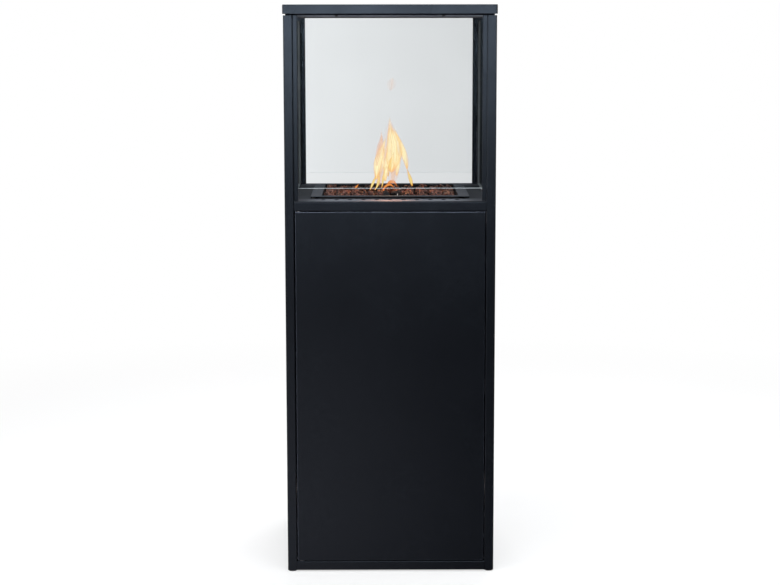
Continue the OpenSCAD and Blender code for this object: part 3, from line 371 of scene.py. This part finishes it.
def clear_glass(name, tint, faces, painted_side_light=0.0, edge_light=0.5, highlight_seam_top=None):
    """Toughened glass: clear through its faces, pale at its ground edges with a painted glow, and with a
    painted highlight on a seam along the lower one.

    "faces" is the axis that the faces look along. The side factor paints light on the pane: the left side
    lighter and the right side darker. The seam ends at the given height.
    """
    s = Shader(name)
    x, _, z = s.split(s.place)
    # painted light: the pane lighter on the left and darker on the right
    painted_side_lean = s.remap(x, -0.2, 0.2, 1.0 + painted_side_light, 1.0 - painted_side_light)
    cloud = s.remap(s.noise(3.0, detail=2.0), 0.3, 0.7, 0.99, 1.01)
    tinted = s.node("VectorMath", {0: tint, "Scale": s.times(painted_side_lean, cloud)}, operation="SCALE").outputs[0]
    clear = s.node("BsdfTransparent", {"Color": tinted}).outputs[0]
    mirror = s.node("BsdfGlossy", {"Roughness": 0.02}).outputs[0]
    fresnel = s.node("Fresnel", {"IOR": GLASS_IOR}).outputs[0]
    path = s.node("LightPath").outputs
    looked_at = s.minus(1.0, s.larger(path["Is Shadow Ray"], path["Is Diffuse Ray"]))
    pane = s.blend(s.times(s.remap(fresnel, 0.035, 0.16, 0.0, 0.10), looked_at), clear, mirror)
    facing = s.split(s.node("NewGeometry").outputs["Normal"])["XY".index(faces)]
    edge = s.math("LESS_THAN", s.unsigned(facing), 0.95)
    # painted highlight on a seam along the lower edge
    if highlight_seam_top:
        edge = s.larger(edge, s.remap(z, highlight_seam_top, highlight_seam_top + HIGHLIGHT_SEAM_FADE, 1.0, 0.0))
    # painted glow on the ground edges and the seam, scaled like their paleness
    glow = s.remap(s.noise(14.0, detail=2.0), 0.3, 0.7, 0.04 * edge_light, 0.10 * edge_light)
    ground = s.surface(Base_Color=shade(GROUND_EDGE, edge_light), Roughness=0.35,
                       Emission_Color=PAINTED_EDGE_GLOW, Emission_Strength=glow)
    return s.finish(s.blend(s.times(edge, looked_at), pane, ground))


def pilot_gap_shade(s, rag):
    """Painted shade on the stones around the pilot, in the gap there, with a ragged edge."""
    tip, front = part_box("spark_electrode"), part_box("lava_rocks")[0][1]
    middle = (tip[0][0] + tip[1][0]) / 2 - PILOT_ASIDE
    x, y, _ = s.split(s.place)
    ragged = s.plus(s.unsigned(s.minus(x, middle)), s.remap(rag, 0.3, 0.7, -PILOT_RAG, PILOT_RAG))
    near = s.remap(ragged, *PILOT_REACH, 1.0, 0.0)
    return s.times(near, s.remap(y, front + PILOT_DEPTH[0], front + PILOT_DEPTH[1], 0.97, 0.0))


def lava(name):
    """Porous lava: rust and brown patches, pale flecks that are painted highlights, near-black flecks, and
    pores darkened as painted shade.
    """
    s = Shader(name)
    patch = s.noise(42.0, detail=5.0, rough=0.6, warp=0.6)
    grit_and_highlight = s.noise(420.0, detail=6.0, rough=0.72)
    holes = s.remap(s.cells(330.0), 0.12, 0.34)
    tone = s.ramp(patch, (0.30, (0.014, 0.008, 0.008)), (0.42, (0.066, 0.018, 0.011)),
                  (0.52, (0.140, 0.042, 0.027)), (0.61, (0.110, 0.050, 0.018)),
                  (0.72, (0.020, 0.012, 0.011)))
    fleck_and_highlight = s.noise(125.0, detail=3.0, rough=0.6, warp=0.8)
    tone = s.mix(s.remap(fleck_and_highlight, 0.42, 0.51, 0.95, 0.0), tone, (0.008, 0.004, 0.004))
    # painted highlights: pale flecks
    tone = s.mix(s.remap(fleck_and_highlight, 0.56, 0.66, 0.0, 0.75), tone, (0.38, 0.19, 0.15))
    # painted highlights in the fine grain too
    tone = s.mix(s.remap(grit_and_highlight, 0.55, 0.72, 0.0, 0.75), tone, (0.48, 0.29, 0.25))
    # painted shade in the pores
    tone = s.mix(holes, (0.006, 0.004, 0.004), tone)
    # painted shade in the gap round the pilot
    tone = s.mix(pilot_gap_shade(s, patch), tone, PILOT_SHADE_BLACK)
    rough = s.remap(grit_and_highlight, 0.3, 0.7, 0.62, 0.9)
    normal = s.bump(s.plus(s.times(holes, 0.6), s.times(grit_and_highlight, 0.8)), 2.2 * MM, 0.9)
    return s.finish(s.surface(Base_Color=tone, Roughness=rough, Normal=normal))


def fire(name, hot, warm, cool, power, density):
    """A flame tongue: orange at its rim and foot, near white within, with rising streaks."""
    s = Shader(name)
    across, up, _ = s.split(s.node("UVMap").outputs["UV"])
    side = s.unsigned(s.minus(s.times(across, 2.0), 1.0))
    body = s.minus(1.0, s.math("POWER", side, 3.0))
    foot = s.remap(up, 0.0, 0.06, smooth=True)
    tip = s.minus(1.0, s.remap(up, 0.72, 1.0, smooth=True))
    licks = s.noise(95.0, detail=3.0, vector=s.stretched((1.0, 1.0, 0.16)), warp=0.7)
    solid = s.times(s.times(body, foot), s.times(tip, s.remap(licks, 0.36, 0.58, 0.35, 1.25)))
    middle = s.minus(1.0, s.math("POWER", side, 1.6))
    height = s.minus(s.remap(up, 0.0, 0.28, 0.25, 1.0), s.remap(up, 0.6, 1.0, 0.0, 0.55))
    heat = s.times(s.times(middle, height), s.remap(licks, 0.36, 0.62, 0.55, 1.25))
    colour = s.ramp(heat, (0.05, cool), (0.34, warm), (0.62, hot))
    glow = s.node("Emission", {"Color": colour, "Strength": power}).outputs[0]
    clear = s.node("BsdfTransparent").outputs[0]
    return s.finish(s.blend(s.math("MULTIPLY", solid, density, clamp=True), clear, glow))


def lowest(node):
    """The height of a node's lowest point."""
    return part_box(node)[0][2]


FINISHES = {
    "painted_metal": powder_coat("black_coat", COAT),
    "deck_metal": powder_coat("grey_coat", (0.042, 0.047, 0.056), gloss=0.45, grain=0.8, sheen=0.03),
    "stainless": brushed_steel("stainless", (0.52, 0.53, 0.54), heat=0.25),
    "zinc_steel": plated("zinc", (0.55, 0.56, 0.58)),
    "brass": turned_brass("brass"),
    "cast_alloy": cast_alloy("alloy"),
    "lava": lava("lava"),
    "glass": clear_glass("side_glass", (0.94, 0.955, 0.95), "X", highlight_seam_top=lowest("glass_left") + 1.6 * MM),
    "rubber": moulded("rubber", (0.014, 0.014, 0.015), gloss=0.68, grain=500.0),
    "black_plastic": moulded("black_plastic", (0.016, 0.016, 0.018), gloss=0.5),
    "red_plastic": moulded("red_plastic", (0.32, 0.02, 0.015), gloss=0.3),
    "white_ceramic": fired_ceramic("ceramic"),
}


# Nodes whose finish differs from the one of their slot
OWN_FINISHES = {
    "glass_front": clear_glass("front_glass", (0.862, 0.875, 0.881), "Y", painted_side_light=0.036, edge_light=1.5,
                               highlight_seam_top=lowest("glass_front") + 0.6 * MM),
    "glass_back": clear_glass("back_glass", (0.985, 0.988, 0.989), "Y", painted_side_light=0.006, edge_light=2.0),
    # the deck, with painted shade
    "deck_plate": powder_coat("painted_shade_deck_coat", (0.098, 0.108, 0.126), gloss=0.45, grain=0.8, sheen=0.03,
                              soot=deck_painted_shade),
    # painted highlight on the door's folds
    "door": powder_coat("door_coat", COAT, fold=2.6 * MM, fold_highlight=58.0),
    # painted shade on the bottom rail in the gap under the door
    "base_rails": powder_coat("sill_coat", COAT, soot=sill_shade),
    "door_bushes": cast_alloy("sintered_steel", (0.085, 0.085, 0.09), (0.14, 0.14, 0.15)),
    "cap_screws": moulded("blackened_steel", (0.006, 0.006, 0.007), gloss=0.5),
    # the ring under the cap: a darker copy of the black coat with less sheen, painted shade
    "top_rails": powder_coat("painted_shade_ring_coat", shade(COAT, 0.5), gloss=0.5, sheen=0.02),
    # painted light on the heat shield's outer sides
    "heat_shield": sooty_steel("ceiling_steel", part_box("heat_shield")),
    **{node: sooty_steel("sooty_" + node) for node in ("burner_pan", "rock_grate", "plate_spacers")},
}


def dress_solids():
    """Gives each CAD node its own finish, or else the one of its slot in the record."""
    for entry in frame["record"]["subparts"]:
        materials = frame["nodes"][entry["node"]].data.materials
        materials.clear()
        materials.append(OWN_FINISHES.get(entry["node"], FINISHES[entry["material_slot"]]))


def new_piece(name, mesh, material):
    """A smooth-shaded piece that rides on the fixed body."""
    mesh.polygons.foreach_set("use_smooth", [True] * len(mesh.polygons))
    mesh.materials.append(material)
    piece = bpy.data.objects.new(name, mesh)
    bpy.context.scene.collection.objects.link(piece)
    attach(piece, "root")
    return piece


# Stones

STONE_SEED = 7
STONE_LEVELS = 5              # how finely the raw sphere is divided
STONE_SPREAD = 1.02           # how much wider than its solid a stone is shown
STONE_CUTS = 9                # planes along which a chunk is broken
CUT_DEPTH = (0.45, 1.0)       # distance of these planes from the middle, for a sphere of radius 1
LEAST_FACING = 0.05           # directions that face a plane less than this never reach it
UNREACHED = 9.0               # any distance beyond the reach
STONE_WEAR = 14.0             # sharpness of the edges between two planes
STONE_REACH = 1.25            # greatest distance of the surface from the middle
STONE_ROUGHNESS = 2.8 * MM
COARSE, MEDIUM, FINE, PITS = 110.0, 380.0, 900.0, 190.0    # how dense bumps and pits are, per metre
CREST_SLOPE = 0.09            # how fast the stones' greatest height rises from the deck's back edge forwards

STONE_PAIRS = 0.45            # share of the solids that are shown as two chunks
PAIR_CUT = (0.36, 0.64)       # where a solid is cut into two chunks, as shares of its width
PAIR_OVERLAP = 0.04
MOST_DROP = 0.32              # chunks end up to this share of the height below the top of their solid
PILOT_DROP = 0.6              # and those before the pilot by this share
PILOT_GAP = (34.0 * MM, 40.0 * MM)    # width and depth of the gap that shows the pilot
PILOT_SHIFT = 8.0 * MM        # distance of the gap's middle from the electrode


def island_corners(mesh):
    """Lowest and highest corner of each separate body of a mesh, in a fixed order."""
    bm = bmesh.new()
    bm.from_mesh(mesh)
    bmesh.ops.remove_doubles(bm, verts=bm.verts, dist=0.01 * MM)
    bm.verts.index_update()
    seen, corners = set(), []
    for start in bm.verts:
        if start.index in seen:
            continue
        seen.add(start.index)
        group, stack = [], [start]
        while stack:
            v = stack.pop()
            group.append(v.co[:])
            for e in v.link_edges:
                other = e.other_vert(v)
                if other.index not in seen:
                    seen.add(other.index)
                    stack.append(other)
        corners.append((np.min(group, axis=0), np.max(group, axis=0)))
    bm.free()
    return sorted(corners, key=lambda pair: tuple(np.round(pair[0], 4)))


def ball(levels):
    """Points and faces of a finely divided sphere, the raw form of each stone."""
    bm = bmesh.new()
    bmesh.ops.create_icosphere(bm, subdivisions=levels, radius=1.0)
    points = np.array([v.co[:] for v in bm.verts])
    faces = np.array([[v.index for v in f.verts] for f in bm.faces])
    bm.free()
    return points, faces


def broken_form(directions, rng):
    """Distances from the middle of a chunk broken along random planes, with slightly softened edges."""
    planes = rng.normal(size=(STONE_CUTS, 3))
    planes /= np.linalg.norm(planes, axis=1, keepdims=True)
    depth = rng.uniform(*CUT_DEPTH, STONE_CUTS)
    facing = directions @ planes.T
    reach = np.where(facing > LEAST_FACING, depth / np.maximum(facing, LEAST_FACING), UNREACHED)
    return np.minimum(STONE_REACH, -np.log(np.sum(np.exp(-STONE_WEAR * reach), axis=1)) / STONE_WEAR)


def before_pilot(low, high):
    """Whether a stone lies at the front edge of the gap that shows the pilot."""
    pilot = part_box("spark_electrode")
    middle = (low + high) / 2
    tip = (pilot[0][0] + pilot[1][0]) / 2
    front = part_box("lava_rocks")[0][1]
    return abs(middle[0] - tip + PILOT_SHIFT) < PILOT_GAP[0] / 2 and middle[1] < front + PILOT_GAP[1]


def stone_points(directions, low, high, rng):
    """One stone: a broken chunk, fitted into a box, then pitted and roughened."""
    chunk = directions * broken_form(directions, rng)[:, None]
    lowest, highest = chunk.min(axis=0), chunk.max(axis=0)
    chunk = (chunk - (lowest + highest) / 2) / (highest - lowest)
    points = (low + high) / 2 + chunk * (high - low)
    shift = rng.uniform(-1.0, 1.0, 3)
    for k, (point, out) in enumerate(zip(points, directions)):
        spot = Vector(point + shift)
        rough = (noise.noise(spot * COARSE) + 0.6 * noise.noise(spot * MEDIUM)
                 + 0.35 * noise.noise(spot * FINE))
        pit = max(0.0, 1.0 - 2.6 * noise.voronoi(spot * PITS)[0][0])
        points[k] -= out * max(0.0, STONE_ROUGHNESS * (0.5 - rough + 0.9 * pit))
    points[:, 2] = np.clip(points[:, 2], low[2], high[2])
    return points


def chunk_boxes(low, high, rng):
    """The box of a stone of the CAD model, or two boxes where it is shown as a pair of chunks."""
    spread = (high - low) * np.array([STONE_SPREAD - 1.0, STONE_SPREAD - 1.0, 0.0]) / 2
    low, high = low - spread, high + spread
    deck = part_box("deck_plate")[1]
    high[2] = min(high[2], deck[2] + CREST_SLOPE * (deck[1] - high[1]))
    width, _, height = high - low
    if before_pilot(low, high):
        return [(low, high - (0.0, 0.0, PILOT_DROP * height))]
    drop = height * rng.uniform(0.0, MOST_DROP, 2)
    if rng.uniform() > STONE_PAIRS:
        return [(low, high - (0.0, 0.0, drop[0]))]
    cut = low[0] + width * rng.uniform(*PAIR_CUT)
    overlap = PAIR_OVERLAP * width
    return [(low, np.array([cut + overlap, high[1], high[2] - drop[0]])),
            (np.array([cut - overlap, low[1], low[2]]), high - (0.0, 0.0, drop[1]))]


def lava_stones():
    """All stones as one piece, each over its own solid of the CAD model."""
    directions, ball_faces = ball(STONE_LEVELS)
    tray_low, tray_high = (np.array(corner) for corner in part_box("lava_rocks"))
    rng = np.random.default_rng(STONE_SEED)
    boxes = [box for corners in island_corners(frame["nodes"]["lava_rocks"].data)
             for box in chunk_boxes(*corners, rng)]
    points = np.concatenate([stone_points(directions, low, high, rng) for low, high in boxes])
    faces = np.concatenate([ball_faces + number * len(directions) for number in range(len(boxes))])
    mesh = bpy.data.meshes.new("lava_stones")
    mesh.from_pydata(np.clip(points, tray_low, tray_high).tolist(), [], faces.tolist())
    piece = new_piece("lava_stones", mesh, FINISHES["lava"])
    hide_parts("lava_rocks")


# Flame

# Each tongue: points (x, y, z above the burner plate) in millimetres from foot to tip, widest
# half width, place of the belly along it, how dense it is and how hot it burns
TONGUES = {
    "core": ([(4, 2, 44), (8, 2, 66), (11, 0, 92), (10, 0, 118), (4, 0, 146), (0, 0, 182)],
             24, 0.40, 0.80, "hot"),
    "core_left": ([(-11, 6, 20), (-9, 4, 50), (-4, 2, 84), (2, 0, 120)], 9, 0.5, 0.7, "hot"),
    "core_right": ([(17, 3, 34), (20, 3, 58), (19, 2, 84), (13, 0, 116)], 8, 0.5, 0.7, "hot"),
    "right": ([(44, 4, 50), (41, 4, 70), (34, 3, 96), (22, 1, 128), (10, 0, 156)], 8, 0.35, 0.75, "hot"),
    "right_foot": ([(57, 7, 8), (53, 6, 22), (47, 5, 40), (42, 4, 58)], 5, 0.35, 0.9, "warm"),
    "left": ([(-33, -6, 58), (-28, -5, 84), (-23, -3, 110), (-20, -2, 130), (-21, 0, 152)],
             9, 0.35, 0.42, "pale"),
    "left_body": ([(-34, -8, 26), (-32, -6, 48), (-28, -4, 74), (-18, -2, 104), (-8, 0, 132)],
                  11, 0.45, 0.75, "hot"),
    "left_low": ([(-30, 0, 30), (-24, 2, 52), (-18, 2, 78), (-8, 0, 112)], 10, 0.5, 0.65, "hot"),
    "foot_far": ([(-49, -14, 0), (-44, -12, 12), (-38, -10, 26), (-33, -8, 44)], 3.4, 0.5, 0.95, "warm"),
    "foot_near": ([(-37, -12, 0), (-30, -10, 12), (-27, -8, 26), (-26, -6, 46)], 3.8, 0.5, 0.95, "warm"),
    "foot_mid": ([(-20, -4, 4), (-17, -2, 18), (-15, 0, 34), (-12, 0, 60)], 3.2, 0.5, 0.9, "warm"),
    "strand_left": ([(-13, -14, 26), (-8, -12, 50), (2, -8, 80)], 4, 0.5, 0.8, "hot"),
    "strand_mid": ([(3, -20, 44), (6, -14, 66), (9, -8, 92)], 5, 0.5, 0.75, "hot"),
    "strand_gold": ([(-4, -16, 34), (-1, -12, 52), (4, -8, 74), (12, -4, 96)], 4, 0.5, 0.6, "warm"),
    "veil": ([(8, 6, 14), (8, 4, 44), (10, 2, 76)], 18, 0.5, 0.24, "pale"),
    "haze": ([(4, 0, 50), (4, 0, 90), (3, 0, 130), (0, 0, 186)], 30, 0.4, 0.10, "pale"),
    "wisp": ([(2, 0, 246), (5, 0, 263), (7, 0, 280)], 14, 0.5, 0.07, "pale"),
    "left_glow": ([(-26, -2, 10), (-26, -2, 40), (-22, -2, 80)], 13, 0.5, 0.30, "pale"),
    "ember_arch": ([(-17, -8, -6), (-13, -8, 6), (-3, -8, 13), (7, -8, 10), (13, -8, -4)],
                   3.4, 0.5, 0.95, "ember"),
    "ember_back": ([(-9, 6, 6), (0, 6, 18), (12, 6, 18), (20, 6, 4)], 5.0, 0.5, 0.6, "ember"),
    "ember_left": ([(-90, 34, -6), (-84, 36, 3), (-77, 36, 12)], 2.6, 0.5, 0.85, "ember"),
}

# Each heat: the colours in the middle of a tongue, around it and at its rim, and how bright they are
HEATS = {
    "hot": ((1.0, 0.87, 0.52), (1.0, 0.64, 0.22), (1.0, 0.36, 0.09), 1.36),
    "warm": ((1.0, 0.78, 0.30), (1.0, 0.52, 0.08), (0.9, 0.22, 0.02), 1.2),
    "pale": ((1.0, 0.62, 0.42), (1.0, 0.52, 0.34), (1.0, 0.48, 0.36), 1.14),
    "ember": ((1.0, 0.36, 0.08), (0.9, 0.20, 0.03), (0.55, 0.07, 0.01), 1.08),
}

CARDS = 4                     # ribbons of a tongue, and their rows and columns of faces
ROWS = 30
COLUMNS = 10
FOOT_WIDTH = 0.28             # share of the widest half width at the foot, and the least one at the tip
TIP_WIDTH = 0.02
SWAY = 0.9 * MM               # how far the ribbons wave
WAVES = (9.0, 2.1, 5.0)       # how fast they wave along a ribbon, from one to the next, and across one

# Places of the flame's two lights, from the middle of the burner plate's top
GLOW_PLACE = Vector((0.0, -0.03, 0.06))
LEDGE_GLOW_PLACE = Vector((0.0, -0.20, 0.05))


def along(points, t):
    """The point at t, from 0 to 1, of a smooth curve through the given points."""
    spans = len(points) - 1
    at = min(t * spans, spans - 1e-6)
    i = int(at)
    u = at - i
    p = [points[max(0, min(spans, i + k))] for k in (-1, 0, 1, 2)]
    return 0.5 * ((2 * p[1]) + (p[2] - p[0]) * u + (2 * p[0] - 5 * p[1] + 4 * p[2] - p[3]) * u * u
                  + (3 * p[1] - p[0] - 3 * p[2] + p[3]) * u ** 3)


def cross_frame(curve, t):
    """Two directions square to a curve at t, the first in the plane of the picture of the flame."""
    step = 0.01
    ahead = (along(curve, min(1.0, t + step)) - along(curve, max(0.0, t - step))).normalized()
    aside = Vector((0.0, 1.0, 0.0)).cross(ahead).normalized()
    return aside, ahead.cross(aside)


def tongue_width(t, belly):
    """Share of the widest half width along a tongue: a slim foot, a belly and a long point."""
    if t < belly:
        return FOOT_WIDTH + (1 - FOOT_WIDTH) * math.sin(t / belly * math.pi / 2) ** 1.3
    return max(TIP_WIDTH, math.cos((t - belly) / (1.0 - belly) * math.pi / 2) ** 1.15)


def flame_tongue(name, points, half_width, belly, material, base):
    """Upright ribbons that cross on the tongue's own curve, so it has body from every side."""
    curve = [Vector(p) * MM + base for p in points]
    verts, faces, uvs = [], [], []
    for card in range(CARDS):
        turn = math.pi * (card + 0.5) / CARDS
        first = len(verts)
        for row in range(ROWS + 1):
            t = row / ROWS
            middle = along(curve, t)
            aside, deep = cross_frame(curve, t)
            sideways = aside * math.cos(turn) + deep * math.sin(turn)
            for column in range(COLUMNS + 1):
                u = column / COLUMNS
                reach = (2 * u - 1) * half_width * MM * tongue_width(t, belly)
                sway = SWAY * math.sin(WAVES[0] * t + WAVES[1] * card + WAVES[2] * u)
                verts.append(middle + sideways * (reach + sway * t))
                uvs.append((u, t))
        for row in range(ROWS):
            for column in range(COLUMNS):
                a = first + row * (COLUMNS + 1) + column
                faces.append((a, a + 1, a + COLUMNS + 2, a + COLUMNS + 1))
    mesh = bpy.data.meshes.new(name)
    mesh.from_pydata(verts, [], faces)
    layer = mesh.uv_layers.new(name="flame")
    for loop in mesh.loops:
        layer.data[loop.index].uv = uvs[loop.vertex_index]
    new_piece(name, mesh, material)


def build_flame():
    """All tongues of the flame, standing on the stones over the burner, and the light that they give."""
    base = Vector((0.0, 0.0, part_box("burner_plate")[1][2]))
    for name, (points, half_width, belly, density, heat) in TONGUES.items():
        material = fire("fire_" + name, *HEATS[heat], density)
        flame_tongue("flame_" + name, points, half_width, belly, material, base)
    glow = new_lamp("flame_glow", "POINT", 0.7, (1.0, 0.42, 0.18), base + GLOW_PLACE)
    glow.data.shadow_soft_size = 30.0 * MM
    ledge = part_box("deck_plate")[0][1] + 8.0 * MM
    on_ledge = area_lamp("ledge_glow", base + LEDGE_GLOW_PLACE, (0.0, ledge, base[2]), (0.09, 0.035),
                         0.14, (1.0, 0.44, 0.28), 80.0)
    for lamp in (glow, on_ledge):
        lamp.visible_camera = lamp.visible_glossy = lamp.visible_transmission = False


# Studio: metres, watts and degrees

SKY = 0.30                    # strength of the sky on everything that isn't a mirror
SKY_COLOUR = (0.92, 0.95, 1.0)
SKY_RISE = (0.05, 0.7)        # heights between which the mirrored sky grows from the first strength
SKY_MIRRORED = (0.05, 0.75)   # to the second

FLOOR_RADIUS = 60.0
FLOOR_FADE = (0.9, 3.2)       # distances between which the floor turns from paper to pure white
WHITE_SHARE = 0.55            # share of pure white near the object
CARD = (-0.38, 0.42)          # the mirrored floor is pale left of this stretch and dark right of it

# Each lamp: place, target, size, power, colour and spread
CHEST = (0.0, 0.0, 0.8)
LAMPS = {
    "key": ((-0.2, -4.9, 1.36), (0.0, -0.2, 1.2), (2.0, 0.5), 13.0, (0.92, 0.96, 1.0), 90.0),
    "top": ((0.0, -1.3, 3.4), (0.0, -0.8, 0.0), (2.4, 1.4), 60.0, (0.96, 0.98, 1.0), 150.0),
    "fill": ((-3.0, -1.2, 1.4), CHEST, (1.6, 1.8), 40.0, (1.0, 0.98, 0.96), 120.0),
    "side": ((3.0, 0.6, 2.0), CHEST, (1.6, 2.0), 14.0, (0.98, 0.99, 1.0), 120.0),
    "back": ((0.6, 3.2, 2.8), CHEST, (2.6, 1.8), 70.0, (1.0, 1.0, 1.0), 120.0),
}

# Camera: distance, height, turns and lens that bring the object to its place in the photograph
CAMERA_DISTANCE = 4.3
CAMERA_X = -0.0255
CAMERA_HEIGHT = 1.319
CAMERA_DOWN = 8.367
CAMERA_YAW = -0.329
CAMERA_ROLL = -0.068
LENS = 84.16
SENSOR = 36.0


def floor_material():
    """White floor: plain near the object, so that it keeps the shadow, and pure white further out."""
    s = Shader("floor")
    away = s.node("VectorMath", {0: s.place}, operation="LENGTH").outputs["Value"]
    far = s.remap(away, *FLOOR_FADE, WHITE_SHARE, 1.0, smooth=True)
    path = s.node("LightPath").outputs
    seen = s.larger(path["Is Camera Ray"], path["Is Transmission Ray"])
    white = s.node("Emission", {"Strength": 1.0}).outputs[0]
    paper = s.surface(Base_Color=s.mix(s.noise(3.0), (0.80, 0.80, 0.80), (0.82, 0.82, 0.82)),
                      Roughness=0.7, Specular_IOR_Level=0.1)
    across = s.remap(s.split(s.place)[0], *CARD, smooth=True)
    card = s.surface(Base_Color=s.mix(across, (0.97, 0.85, 0.81), (0.05, 0.05, 0.055)), Roughness=0.7,
                     Specular_IOR_Level=0.1)
    return s.finish(s.blend(s.times(far, seen), s.blend(path["Is Glossy Ray"], paper, card), white))


def build_floor():
    bm = bmesh.new()
    bmesh.ops.create_circle(bm, cap_ends=True, segments=96, radius=FLOOR_RADIUS)
    mesh = bpy.data.meshes.new("floor")
    bm.to_mesh(mesh)
    bm.free()
    mesh.materials.append(floor_material())
    floor = bpy.data.objects.new("floor", mesh)
    bpy.context.scene.collection.objects.link(floor)


def build_world():
    """White to the camera and through glass; a dim horizon under a brighter sky to everything else."""
    world = bpy.data.worlds.new("studio")
    g = Graph(world)
    path = g.node("LightPath").outputs
    rise = g.remap(g.split(g.node("TexCoord").outputs["Generated"])[2], *SKY_RISE, *SKY_MIRRORED)
    glossy = path["Is Glossy Ray"]
    strength = g.plus(g.times(glossy, rise), g.times(g.minus(1.0, glossy), SKY))
    soft = g.node("Background", {"Color": SKY_COLOUR, "Strength": strength}).outputs[0]
    white = g.node("Background", {"Color": (1.0, 1.0, 1.0)}).outputs[0]
    seen = g.larger(path["Is Camera Ray"], path["Is Transmission Ray"])
    g.node("OutputWorld", {"Surface": g.blend(seen, soft, white)})
    bpy.context.scene.world = world


def new_lamp(name, kind, power, colour, place):
    data = bpy.data.lights.new(name, kind)
    data.energy = power
    data.color = colour
    lamp = bpy.data.objects.new(name, data)
    lamp.location = place
    bpy.context.scene.collection.objects.link(lamp)
    return lamp


def area_lamp(name, place, target, size, power, colour, spread):
    """A rectangular lamp that looks at its target."""
    lamp = new_lamp(name, "AREA", power, colour, place)
    lamp.data.shape = "RECTANGLE"
    lamp.data.size, lamp.data.size_y = size
    lamp.data.spread = math.radians(spread)
    lamp.rotation_euler = (Vector(target) - Vector(place)).to_track_quat("-Z", "Y").to_euler()
    return lamp


def build_lamps():
    """The studio's lamps; the one behind the object isn't mirrored in it."""
    for name, values in LAMPS.items():
        area_lamp(name, *values).visible_glossy = name != "back"


def build_camera():
    data = bpy.data.cameras.new("camera")
    data.lens = LENS
    data.sensor_width = SENSOR
    camera = bpy.data.objects.new("camera", data)
    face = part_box("post_front_left")[0][1]
    camera.location = (CAMERA_X, face - CAMERA_DISTANCE, CAMERA_HEIGHT)
    turn = (Matrix.Rotation(math.radians(CAMERA_YAW), 4, "Z")
            @ Matrix.Rotation(math.radians(90.0 - CAMERA_DOWN), 4, "X")
            @ Matrix.Rotation(math.radians(CAMERA_ROLL), 4, "Z"))
    camera.rotation_euler = turn.to_euler()
    bpy.context.scene.collection.objects.link(camera)
    bpy.context.scene.camera = camera


build_camera()
build_world()
build_lamps()
build_floor()
dress_solids()
lava_stones()
build_flame()

bpy.context.scene.view_settings.view_transform = "Standard"
bpy.context.scene.cycles.transparent_max_bounces = 96    # the flame's ribbons lie one behind the other
